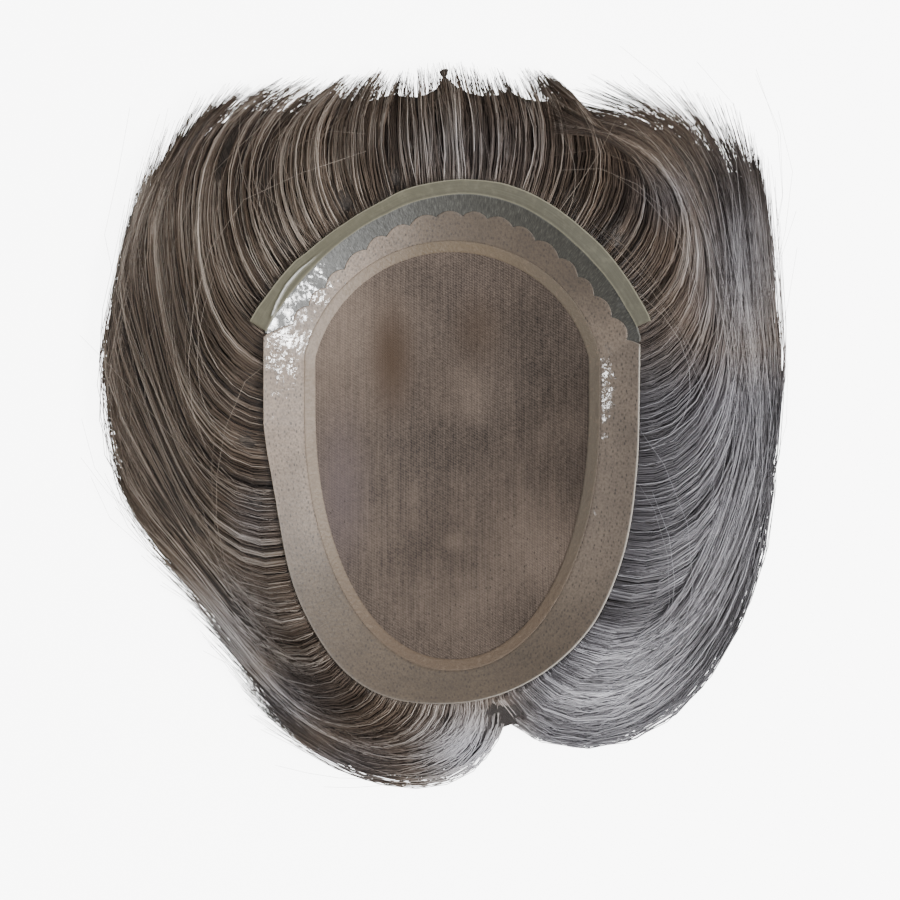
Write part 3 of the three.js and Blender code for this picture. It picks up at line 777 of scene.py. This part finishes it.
hairRows = np.array([
    (-78, 0.94, -81, 14, 61, 86), (-71, 0.95, -69, 36, 67, 98), (-60, 0.95, -42, 49, 74, 96),
    (-48, 0.97, -32, 57, 80, 93), (-32, 1.00, -31, 67, 84, 104), (-14, 0.97, -23, 73, 90, 126),
    (3, 0.90, -14, 77, 98, 154), (19, 0.80, -3, 78, 112, 174), (32, 0.62, 15, 75, 121, 173),
    (44, 0.49, 35, 70, 124, 156), (54, 0.45, 53, 65, 119, 145), (64, 0.39, 52, 71, 101, 137),
    (76, 0.33, 73, 81, 99, 120), (89, 0.35, 89, 92, 99, 109), (102, 0.32, 113, 100, 88, 64),
    (114, 0.38, 134, 108, 84, 47), (127, 0.42, 140, 112, 85, 40), (138, 0.53, 138, 110, 80, 35),
    (150, 0.65, 157, 107, 81, 31), (162, 0.73, 176, 110, 91, 42), (177, 0.80, 193, 114, 96, 50),
    (196, 0.85, 202, 117, 102, 63), (212, 0.84, 212, 123, 112, 74), (227, 0.79, 225, 129, 121, 79),
    (240, 0.70, 251, 135, 134, 102), (251, 0.69, 260, 144, 130, 134), (262, 0.75, 266, 157, 125, 147),
    (271, 0.66, 284, 191, 146, 126), (279, 0.66, 301, 208, 160, 159),
], float)

# Painted light and shade on the hair, with some of the locks' own lighter and darker tone: x, y, reach and
# how much lighter
hairToneLightAndShade = [
    (-0.018, 0.146, 0.050, 0.20),
    (-0.155, 0.110, 0.026, 0.26),
    (0.026, 0.143, 0.022, 0.06),
    (-0.125, 0.055, 0.030, -0.12),
    (-0.060, -0.158, 0.016, 0.22),
    (-0.108, 0.000, 0.025, -0.18),
    (-0.095, -0.040, 0.018, 0.10),
    (-0.140, 0.020, 0.055, 0.17),
    (-0.100, 0.090, 0.035, 0.10),
    (0.105, 0.125, 0.035, 0.10),
    (0.110, 0.010, 0.030, 0.08),
    (0.100, -0.030, 0.024, 0.05),
    (0.010, -0.152, 0.026, 0.84),
    (0.085, -0.125, 0.040, 0.37),
    (0.135, -0.050, 0.045, 0.19),
    (0.145, 0.060, 0.050, 0.14),
    (-0.110, -0.090, 0.045, 0.26),
    (-0.045, -0.140, 0.025, -0.20),
    (-0.105, 0.040, 0.060, -0.08),
    (-0.140, 0.130, 0.050, 0.12),
    (0.066, 0.130, 0.030, -0.30),
    (0.100, 0.070, 0.030, -0.08),
    (-0.039, 0.142, 0.008, -0.35),
    (-0.037, 0.127, 0.006, -0.30),
    (0.122, 0.095, 0.010, 0.16),
    (0.122, 0.065, 0.010, 0.20),
    (0.132, 0.085, 0.006, -0.22),
    (0.132, 0.058, 0.007, -0.22),
    (0.152, 0.105, 0.018, 0.18),
    (0.152, 0.060, 0.022, 0.14),
    (0.136, 0.143, 0.010, -0.22),
    (-0.156, 0.136, 0.012, 0.20),
    (-0.139, 0.138, 0.010, -0.18),
    (-0.146, 0.105, 0.009, -0.18),
    (-0.126, 0.135, 0.009, 0.14),
    (-0.128, 0.110, 0.009, 0.14),
    (-0.124, 0.085, 0.010, 0.10),
    (-0.097, 0.140, 0.016, -0.15),
    (-0.098, 0.118, 0.014, -0.12),
    (-0.066, 0.140, 0.018, 0.10),
]


def moundTop(x, y):
    angle = angleOf(x, y)
    wrapped = (angle + 74) % 360 - 74
    spread = np.interp(wrapped, [row[0] for row in spreads], [row[1] for row in spreads])
    share = np.clip((np.hypot(x, y) - capEdge(angle)) / (spread * hair["skirtSpread"]), 0, 1)
    rootTop = rimTop(angle) - cap["wall"] - hair["hairGap"]
    return hair["tipHeight"] + (rootTop - hair["tipHeight"]) * np.cos(share * np.pi / 2) ** 1.2


# The highest that hair may lie under the cap and its film, and just outside them
def roomTop(x, y):
    angle = angleOf(x, y)
    low, high = cap["filmEnds"]
    edge = np.where((angle > low - 1) & (angle < high + 1), filmEdge(angle), capEdge(angle)) + 0.0005
    past = np.hypot(x, y) - edge
    under = capTop(x, y) - 0.0019
    return np.where(past > 0, rimTop(angle) - 0.0019 + 0.8 * past, under), past


def headingAt(start, early, late, tip, share):
    a = share - 1 / 3
    b = share - 2 / 3
    c = share - 1
    return 4.5 * (tip * share * a * b - start * a * b * c) + 13.5 * share * c * (early * b - late * a)


# The way that hair takes from its root, in steps that are shorter near the cap. Long hair runs on straight.
def walk(angle, lengthShare, turn, steps):
    lengthShare = lengthShare * np.interp(angle, *zip(*hair["tails"]))
    columns = [np.interp(angle, hairRows[:, 0], hairRows[:, column]) for column in range(1, 6)]
    share, start, early, late, tip = columns
    x, y = polar(angle, capEdge(angle) - hair["rootTuck"] / 2)
    places = [np.stack([x, y], axis=1)]
    shares = np.linspace(0, 1, steps + 1) ** hair["stepGrowth"]
    for near, far in zip(shares[:-1], shares[1:]):
        middle = (near + far) / 2
        step = hair["length"] * share * lengthShare * (far - near)
        run = np.minimum(middle * lengthShare, 1)
        heading = np.radians(headingAt(start, early, late, tip, run) + turn * middle)
        x = x + step * np.cos(heading)
        y = y + step * np.sin(heading)
        places.append(np.stack([x, y], axis=1))
    return np.stack(places, axis=1)


# Roots spread evenly along the cap's edge between two angles
def rootAngles(low, high, count, random):
    fine = np.linspace(low, high, 400)
    x, y = polar(fine, capEdge(fine))
    run = np.concatenate([[0], np.cumsum(np.hypot(np.diff(x), np.diff(y)))])
    return np.interp(np.sort(random.uniform(0, run[-1], count)), run, fine), run[-1]


def tubes(name, paths, radii, tones):
    count, points = paths.shape[:2]
    ahead = np.gradient(paths, axis=1)
    ahead = ahead / np.linalg.norm(ahead, axis=2, keepdims=True)
    side = np.cross(ahead, (0, 0, 1))
    side = side / np.linalg.norm(side, axis=2, keepdims=True)
    over = np.cross(side, ahead)
    corners = []
    for turn in (90, 210, 330):
        way = side * math.cos(math.radians(turn)) + over * math.sin(math.radians(turn))
        corners.append(paths + way * radii[..., None])
    positions = np.stack(corners, axis=2).reshape(-1, 3)

    first = (np.arange(count) * points * 3)[:, None, None]
    near = first + (np.arange(points - 1) * 3)[None, :, None] + np.arange(3)[None, None, :]
    turned = first + (np.arange(points - 1) * 3)[None, :, None] + np.array([1, 2, 0])[None, None, :]
    quads = np.stack([near, near + 3, turned + 3, turned], axis=3).reshape(-1, 4)
    rootCaps = first[:, 0, :] + np.array([0, 1, 2])
    tipCaps = first[:, 0, :] + (points - 1) * 3 + np.array([2, 1, 0])
    loops = np.concatenate([quads.ravel(), rootCaps.ravel(), tipCaps.ravel()])
    starts = np.concatenate([
        np.arange(len(quads)) * 4,
        len(quads) * 4 + np.arange(2 * count) * 3,
    ])
    mesh = bpy.data.meshes.new(name)
    mesh.vertices.add(len(positions))
    mesh.vertices.foreach_set("co", positions.ravel())
    mesh.loops.add(len(loops))
    mesh.loops.foreach_set("vertex_index", loops.astype(np.int32))
    mesh.polygons.add(len(starts))
    mesh.polygons.foreach_set("loop_start", starts.astype(np.int32))
    mesh.update(calc_edges=True)
    mesh.shade_smooth()

    along = np.repeat(np.broadcast_to(np.linspace(0.01, 0.99, points), (count, points))[..., None], 3, axis=2)
    band = np.repeat(np.clip(tones, 0.01, 0.98)[..., None], 3, axis=2) + np.array([0, 0.004, 0.008])
    corner = np.stack([along, band], axis=3).reshape(-1, 2)
    shares = mesh.uv_layers.new(name="OFBake")
    shares.data.foreach_set("uv", corner[loops].ravel())
    piece = bpy.data.objects.new(name, mesh)
    bpy.context.scene.collection.objects.link(piece)
    return piece


# Adds up the painted light and shade, and the locks' own tone, at each point of the hair
def toneShade(x, y):
    total = np.zeros_like(x)
    for centreX, centreY, reach, amount in hairToneLightAndShade:
        total = total + amount * np.exp(-((x - centreX) ** 2 + (y - centreY) ** 2) / reach**2)
    return total


# Holds back the turns that lead out of the hair's outline, so that the outline stays dense
def held(turns, side, share):
    return np.where(turns * side > 0, turns * share, turns)


# A set of strands in fine and broad clumps. fan spreads them sideways and lift raises them over the others.
def makeStrands(name, low, high, count, steps, baseTone, random, fan=0.0, lift=0.0):
    angle, run = rootAngles(low, high, count, random)
    order = np.linspace(0, 1, count)
    broadCount = max(3, round(run / hair["broadPitch"] * (1 + fan / 0.004)))
    fineCount = max(6, round(run / hair["finePitch"] * (1 + fan / 0.004)))
    if fan:
        broad = random.integers(0, broadCount, count)
        fine = broad * (fineCount // broadCount) + random.integers(0, fineCount // broadCount, count)
        fineRoots = np.sort(random.uniform(low, high, fineCount))
        broadRoots = np.sort(random.uniform(low, high, broadCount))
        angle = fineRoots[fine] + random.normal(0, 1.0, count)
        fineFan = random.uniform(-fan, fan, fineCount)
    else:
        broad = np.clip((order * broadCount + random.normal(0, 0.22, count)).astype(int), 0, broadCount - 1)
        fine = np.clip((order * fineCount + random.normal(0, 0.12, count)).astype(int), 0, fineCount - 1)
        fineRoots = np.bincount(fine, angle, fineCount)
        fineRoots = fineRoots / np.maximum(np.bincount(fine, minlength=fineCount), 1)
        broadRoots = np.bincount(broad, angle, broadCount)
        broadRoots = broadRoots / np.maximum(np.bincount(broad, minlength=broadCount), 1)
        fineFan = np.zeros(fineCount)

    side = 0 if high < 112 and low > 50 else 1 if low > 50 else -1
    fineFan = held(fineFan, side, 0.65)
    broadTurn = held(random.normal(0, 1.4, broadCount), side, 0.35)
    fineTurn = held(random.normal(0, 1.3, fineCount), side, 0.35)
    layer = random.uniform(0, 1, count)
    lengthShare = random.uniform(0.84, 1.05, count) * random.uniform(0.92, 1.03, fineCount)[fine]
    turn = broadTurn[broad] + fineTurn[fine] + held(random.normal(0, 1.2, count), side, 0.35)
    own = walk(angle, lengthShare, turn, steps)
    fineWay = walk(fineRoots, np.ones(fineCount), fineTurn, steps)[fine]
    share = np.linspace(0, 1, steps + 1) ** hair["stepGrowth"]
    tight = (0.45 * smooth(share, 0.02, 0.25) * (1 - 0.6 * smooth(share, 0.6, 1.0)))[None, :, None]
    plan = own * (1 - tight) + fineWay * tight
    if not fan:
        broadWay = walk(broadRoots, np.ones(broadCount), broadTurn, steps)[broad]
        loose = (0.30 * smooth(share, 0.15, 0.5) * (1 - 0.7 * smooth(share, 0.6, 1.0)))[None, :, None]
        plan = plan * (1 - loose) + broadWay * loose
    wave = random.uniform(0.0002, 0.0012, count)[:, None]
    phase = random.uniform(0, 6.3, count)[:, None]
    sway = wave * np.sin(share[None, :] * random.uniform(5, 12, count)[:, None] + phase) * share[None, :]
    ownFan = fineFan[fine] + held(random.normal(0, 0.2 * fan, count), side, 0.3)
    sway = sway + ownFan[:, None] * smooth(share, 0.0, 0.35)[None, :]
    ahead = np.gradient(plan, axis=1)
    ahead = ahead / np.linalg.norm(ahead, axis=2, keepdims=True)
    x = plan[..., 0] - ahead[..., 1] * sway
    y = plan[..., 1] + ahead[..., 0] * sway

    centreX = fineWay[..., 0] - ahead[..., 1] * fineFan[fine][:, None] * smooth(share, 0.0, 0.35)[None, :]
    centreY = fineWay[..., 1] + ahead[..., 0] * fineFan[fine][:, None] * smooth(share, 0.0, 0.35)[None, :]
    aside = np.clip(np.hypot(x - centreX, y - centreY) / 0.0015, 0, 1.2)
    crest = random.uniform(-0.0009, 0.0013, fineCount)[fine]
    crest = crest + random.uniform(-0.0012, 0.0024, broadCount)[broad]
    rise = (0.0015 + lift + crest)[:, None] * (0.4 + 0.6 * smooth(share, 0.0, 0.2))[None, :]
    height = moundTop(x, y) + rise - aside**2 * 0.0008
    height = height - (layer**1.3)[:, None] * hair["depth"] * (1 - 0.5 * share[None, :])
    room, past = roomTop(x, y)
    valley = 0.0030 * np.exp(-(((past - 0.007) / 0.005) ** 2)) * (past > -0.004)
    height = np.minimum(height - valley, room)
    height = np.maximum(height, 0.0008 + 0.0020 * random.uniform(0, 1, count)[:, None])
    paths = np.stack([x, y, height], axis=2)
    thick = random.uniform(0.85, 1.15, count)[:, None] * hair["radius"]
    radii = thick + (hair["tipRadius"] - thick) * smooth(share, 0.55, 1.0)[None, :]

    tone = baseTone + random.normal(0, 0.12, fineCount)[fine] + random.normal(0, 0.07, broadCount)[broad]
    tone = tone + random.normal(0, 0.11, count) + (random.uniform(0, 1, count) < 0.06) * 0.18
    even = 1 - 0.72 * smooth(x, 0.07, 0.10) * smooth(past, 0.045, 0.020) * smooth(y, 0.10, 0.06)
    # Deeper strands are painted darker, as painted shade under the upper hair
    tones = baseTone - 0.10 + (tone[:, None] - baseTone - 0.22 * layer[:, None] + 0.10) * even
    # Painted light and shade from the table, and painted shade at the sides of each clump
    tones = tones + toneShade(x, y) - 0.06 * aside**2
    # Painted shadow on the roots under and just outside the cap's edge
    tones = tones - 0.15 * np.exp(-np.clip(past, 0, 1) / 0.008)
    return tubes(name, paths, radii, tones)


# Single hairs that lie loose across the others
def makeFlyaways(name, ranges, steps, random):
    angle = np.concatenate([random.uniform(low, high, count) for low, high, count in ranges])
    count = len(angle)
    turn = random.normal(0, 22, count)
    plan = walk(angle, random.uniform(0.5, 1.05, count), turn, steps)
    share = np.linspace(0, 1, steps + 1) ** hair["stepGrowth"]
    x, y = plan[..., 0], plan[..., 1]
    room, past = roomTop(x, y)
    height = moundTop(x, y) + random.uniform(0.003, 0.006, count)[:, None] * smooth(share, 0.0, 0.3)[None, :]
    paths = np.stack([x, y, np.maximum(np.minimum(height, room), 0.001)], axis=2)
    radii = np.full(paths.shape[:2], 0.00013) * (1 - 0.4 * share)[None, :]
    tones = np.repeat(random.uniform(0.50, 0.85, count)[:, None], steps + 1, axis=1)
    inBox = (np.abs(x + 0.005).max(axis=1) < 0.181) & (y.max(axis=1) < 0.207) & (y.min(axis=1) > -0.177)
    return tubes(name, paths[inBox], radii[inBox], tones[inBox])


def toneRamp(tree, tone, colours):
    ramp = addNode(tree, "ShaderNodeValToRGB")
    ramp.color_ramp.elements[0].position = 0.05
    ramp.color_ramp.elements[0].color = colours[0]
    ramp.color_ramp.elements[1].position = 0.95
    ramp.color_ramp.elements[1].color = colours[2]
    ramp.color_ramp.elements.new(0.5).color = colours[1]
    tree.links.new(tone, ramp.inputs[0])
    return ramp.outputs[0]


# Where the hair is cool silver: partly its own grey, partly painted cool light
def coolShare(tree, place):
    split = addNode(tree, "ShaderNodeSeparateXYZ")
    tree.links.new(place, split.inputs[0])
    isCool = ranged(tree, split.outputs[0], 0.010, 0.050)
    isCool = maths(tree, "MULTIPLY", isCool, ranged(tree, split.outputs[1], 0.075, 0.020))
    for centre, reach, amount in hair["coolTintSpots"]:
        coolHere = maths(tree, "MULTIPLY", spot(tree, place, centre, reach), amount)
        isCool = maths(tree, "MAXIMUM", isCool, coolHere)
    return isCool


# Warm grey-brown hair that turns to a cool silver on the right and in the listed stretches, partly the hair's
# own grey and partly painted cool light
def hairMaterial():
    material, tree, shader, place = newMaterial("salt-and-pepper-hair", hair["roughness"], 0.5)
    part = addNode(tree, "ShaderNodeSeparateXYZ")
    tree.links.new(addNode(tree, "ShaderNodeUVMap", uv_map="OFBake").outputs[0], part.inputs[0])
    warm = toneRamp(tree, part.outputs[1], hair["warmColours"])
    cool = toneRamp(tree, part.outputs[1], hair["coolColours"])
    colour = mixed(tree, coolShare(tree, place), warm, cool)
    tree.links.new(colour, shader.inputs["Base Color"])
    return material


hairFinish = hairMaterial()
random = np.random.default_rng(hair["seed"])
strandSets = [
    ("leftFrontStrands", 105, 165, 1350, 13, 0.50, "left_hair", 0, 0),
    ("leftSideStrands", 162, 222, 1620, 14, 0.46, "left_hair", 0, 0),
    ("leftNapeStrands", 218, 282, 1450, 13, 0.50, "left_hair", 0, 0),
    ("leftTailStrands", 254, 281, 500, 12, 0.56, "left_hair", 0.009, 0.001),
    ("rightNapeStrands", -80, -28, 1400, 14, 0.48, "right_hair", 0, 0),
    ("rightSideStrands", -32, 62, 1820, 14, 0.44, "right_hair", 0, 0),
    ("rightTailStrands", -80, -55, 950, 13, 0.56, "right_hair", 0.011, 0.002),
    ("frontStrands", 56, 111, 1400, 8, 0.52, "front_hair", 0, 0),
    ("leftCornerStrands", 220, 248, 340, 12, 0.50, "left_hair", 0.009, 0.0005),
]
for name, low, high, count, steps, tone, slotName, fan, lift in strandSets:
    strands = makeStrands(name, low, high, count, steps, tone, random, fan, lift)
    finishPiece(strands, hairFinish, slotName)
looseRanges = [(110, 278, 80), (-78, 50, 60), (60, 105, 10)]
finishPiece(makeFlyaways("looseStrands", looseRanges, 10, random), hairFinish, "crown_hair")
print("stage 4: the strands are combed")

# The dense hair under the strands: each CAD sweep rounded off and drawn in a little
bulk = {
    "voxel": 0.0040,
    "shrink": 0.0030,
    "sideShrink": 0.0090,
    "smoothing": 8,
    "core": 0.0045,
    # How far it reaches as a share of the strands' length, by root angle
    "reach": [(48, 0.80), (60, 0.93), (122, 0.93), (136, 0.80)],
}


def bulkMaterial(isStreaky):
    material, tree, shader, place = newMaterial("hairBulk" if isStreaky else "hairPad", 0.5, 0.3)
    if isStreaky:
        flow = addNode(tree, "ShaderNodeUVMap", uv_map="flow").outputs[0]
        streaks = noise(tree, scaled(tree, flow, (5, 900, 1)), 1.0, 4, 0.7)
    else:
        streaks = noise(tree, place, 160, 5, 0.7)
    light = mixed(tree, coolShare(tree, place), (0.108, 0.088, 0.072, 1), (0.100, 0.096, 0.103, 1))
    colour = mixed(tree, ranged(tree, streaks, 0.35, 0.7), (0.012, 0.009, 0.008, 1), light)
    tree.links.new(colour, shader.inputs["Base Color"])
    bumped(tree, shader, streaks, 0.002, 0.8)
    return material


# Marks each point of a piece with the root angle and the share of the nearest guide strand
def addFlow(piece):
    angle = np.arange(-80, 282, 1.0)
    guides = walk(angle, np.ones(len(angle)), 0, 20)
    tree = KDTree(guides.shape[0] * guides.shape[1])
    for index, (x, y) in enumerate(guides.reshape(-1, 2)):
        tree.insert((x, y, 0), index)
    tree.balance()
    marks = np.zeros((len(piece.data.vertices), 2))
    for vertex in piece.data.vertices:
        near = tree.find_n((vertex.co.x, vertex.co.y, 0), 4)
        weights = np.array([1 / (1e-7 + found[2] ** 2) for found in near])
        column = np.array([found[1] // 21 for found in near])
        along = np.array([found[1] % 21 for found in near])
        total = weights.sum()
        marks[vertex.index] = (along @ weights / total / 20, angle[column] @ weights / total / 360)
    layer = piece.data.uv_layers.new(name="flow")
    corner = np.zeros(len(piece.data.loops), np.int32)
    piece.data.loops.foreach_get("vertex_index", corner)
    layer.data.foreach_set("uv", marks[corner].ravel())


# Thick cores along the guides, so that the bulk reaches as far as the strands
def makeCores():
    angle = np.arange(-79, 282, 2.0)
    guides = walk(angle, np.interp(angle, *zip(*bulk["reach"])), 0, 20)
    height = np.maximum(moundTop(guides[..., 0], guides[..., 1]) - 0.008, bulk["core"])
    paths = np.dstack([guides, height])
    return tubes("cores", paths, np.full(height.shape, bulk["core"]), np.zeros(height.shape))


def soften(piece, rounds):
    modifier = piece.modifiers.new("soften", "SMOOTH")
    modifier.factor = 0.5
    modifier.iterations = rounds
    bpy.ops.object.modifier_apply(modifier=modifier.name)


def makeBulk(name, nodes, slotName, material, isPad=False):
    copies = []
    for node in nodes:
        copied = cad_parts[node].copy()
        copied.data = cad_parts[node].data.copy()
        for key in list(copied.keys()):
            if key.startswith("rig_"):
                del copied[key]
        copied.parent = None
        copied.hide_render = False
        copied.hide_viewport = False
        bpy.context.scene.collection.objects.link(copied)
        copies.append(copied)
    if not isPad:
        copies.append(makeCores())
    bpy.ops.object.select_all(action="DESELECT")
    for copied in copies:
        copied.select_set(True)
    piece = copies[0]
    bpy.context.view_layer.objects.active = piece
    if len(copies) > 1:
        bpy.ops.object.join()
    piece.name = name
    piece.data.name = name
    bpy.ops.object.mode_set(mode="EDIT")
    bpy.ops.mesh.select_all(action="SELECT")
    bpy.ops.mesh.remove_doubles(threshold=0.000001)
    bpy.ops.object.mode_set(mode="OBJECT")
    remesh = piece.modifiers.new("skin", "REMESH")
    remesh.mode = "VOXEL"
    remesh.voxel_size = bulk["voxel"]
    bpy.ops.object.modifier_apply(modifier=remesh.name)
    soften(piece, 3 if isPad else bulk["smoothing"])
    places = np.zeros(len(piece.data.vertices) * 3)
    normals = np.zeros(len(piece.data.vertices) * 3)
    piece.data.vertices.foreach_get("co", places)
    piece.data.vertices.foreach_get("normal", normals)
    places = places.reshape(-1, 3)
    past = roomTop(places[:, 0], places[:, 1])[1]
    side = 0.0006 if isPad else bulk["sideShrink"] * smooth(past, 0.004, 0.030)
    down = 0.0006 if isPad else bulk["shrink"]
    depths = np.stack([0 * past + side, 0 * past + side, 0 * past + down], axis=1)
    places = places - normals.reshape(-1, 3) * depths
    piece.data.vertices.foreach_set("co", places.ravel())
    piece.data.update()
    soften(piece, 2 if isPad else bulk["smoothing"])
    places = np.zeros(len(piece.data.vertices) * 3)
    piece.data.vertices.foreach_get("co", places)
    places = places.reshape(-1, 3)
    places[:, 2] = np.maximum(places[:, 2], 0.0002)
    room, past = roomTop(places[:, 0], places[:, 1])
    if not isPad:
        places[:, 2] = np.minimum(places[:, 2], np.maximum(room - 0.002, 0.0002))
    piece.data.vertices.foreach_set("co", places.ravel())
    piece.data.update()
    bpy.ops.object.shade_smooth()
    if not isPad:
        addFlow(piece)
    finishPiece(piece, material, slotName, *nodes)
    return piece


makeBulk("crownHairPad", ["crown_hair"], "crown_hair", bulkMaterial(False), isPad=True)
makeBulk("sweptHairBulk", ["left_hair", "front_hair", "right_hair"], "left_hair", bulkMaterial(True))
print("stage 5: the bulk of the hair is made")

# The floor, the lights and the camera above the piece
studio = {
    "floorSize": 6.0,
    "floorColour": (0.86, 0.86, 0.85, 1),
    "floorGlow": 7.0,
    "cameraHeight": 2.4,
    "viewWidth": 0.441,
    "focus": (-0.001, 0.0, 0.040),
}


def addLamp(name, place, target, size, power, colour=(1, 1, 1)):
    bpy.ops.object.select_all(action="DESELECT")
    bpy.ops.object.light_add(type="AREA", location=place)
    lamp = bpy.context.object
    lamp.name = name
    lamp.data.size = size
    lamp.data.energy = power
    lamp.data.color = colour
    away = [target[axis] - place[axis] for axis in range(3)]
    lamp.rotation_euler = Vector(away).to_track_quat("-Z", "Y").to_euler()
    return lamp


def makeStudio():
    bpy.ops.object.select_all(action="DESELECT")
    bpy.ops.mesh.primitive_plane_add(size=studio["floorSize"], location=(0, 0, -0.0002))
    floor = bpy.context.object
    floor.name = "floor"
    material, tree, shader, place = newMaterial("paleFloor", 0.6, 0.2)
    grain = noise(tree, place, 4, 3)
    floorShade = (0.80, 0.80, 0.80, 1)
    colour = mixed(tree, ranged(tree, grain, 0.3, 0.7, 0.0, 0.04), studio["floorColour"], floorShade)
    tree.links.new(colour, shader.inputs["Base Color"])
    shader.inputs["Emission Color"].default_value = (1, 1, 1, 1)
    shader.inputs["Emission Strength"].default_value = studio["floorGlow"]
    floor.data.materials.append(material)
    floor.visible_diffuse = False
    floor.visible_glossy = False
    addLamp("topLamp", (0.2, 0.3, 3.0), (0, 0, 0), 2.2, 45)
    addLamp("keyLamp", (1.62, -0.82, 1.47), (-0.08, 0.07, 0.03), 0.62, 84)
    addLamp("sideLamp", (1.97, -0.04, 1.27), (-0.09, 0.03, 0.03), 0.36, 24)
    addLamp("sparkleLamp", (-1.51, 0.05, 1.25), (0.074, 0.03, 0.03), 0.25, 7)
    world = bpy.data.worlds.new("studioAir")
    world.use_nodes = True
    world.node_tree.nodes["Background"].inputs["Color"].default_value = (1, 1, 1, 1)
    world.node_tree.nodes["Background"].inputs["Strength"].default_value = 0.32
    bpy.context.scene.world = world
    focusX, focusY, focusZ = studio["focus"]
    bpy.ops.object.camera_add(location=(focusX, focusY, focusZ + studio["cameraHeight"]), rotation=(0, 0, 0))
    camera = bpy.context.object
    camera.name = "photoCamera"
    camera.data.sensor_width = 36
    camera.data.lens = 18 * studio["cameraHeight"] / (studio["viewWidth"] / 2)
    camera.data.dof.use_dof = False
    bpy.context.scene.camera = camera


makeStudio()
print("stage 6: the studio is set up")
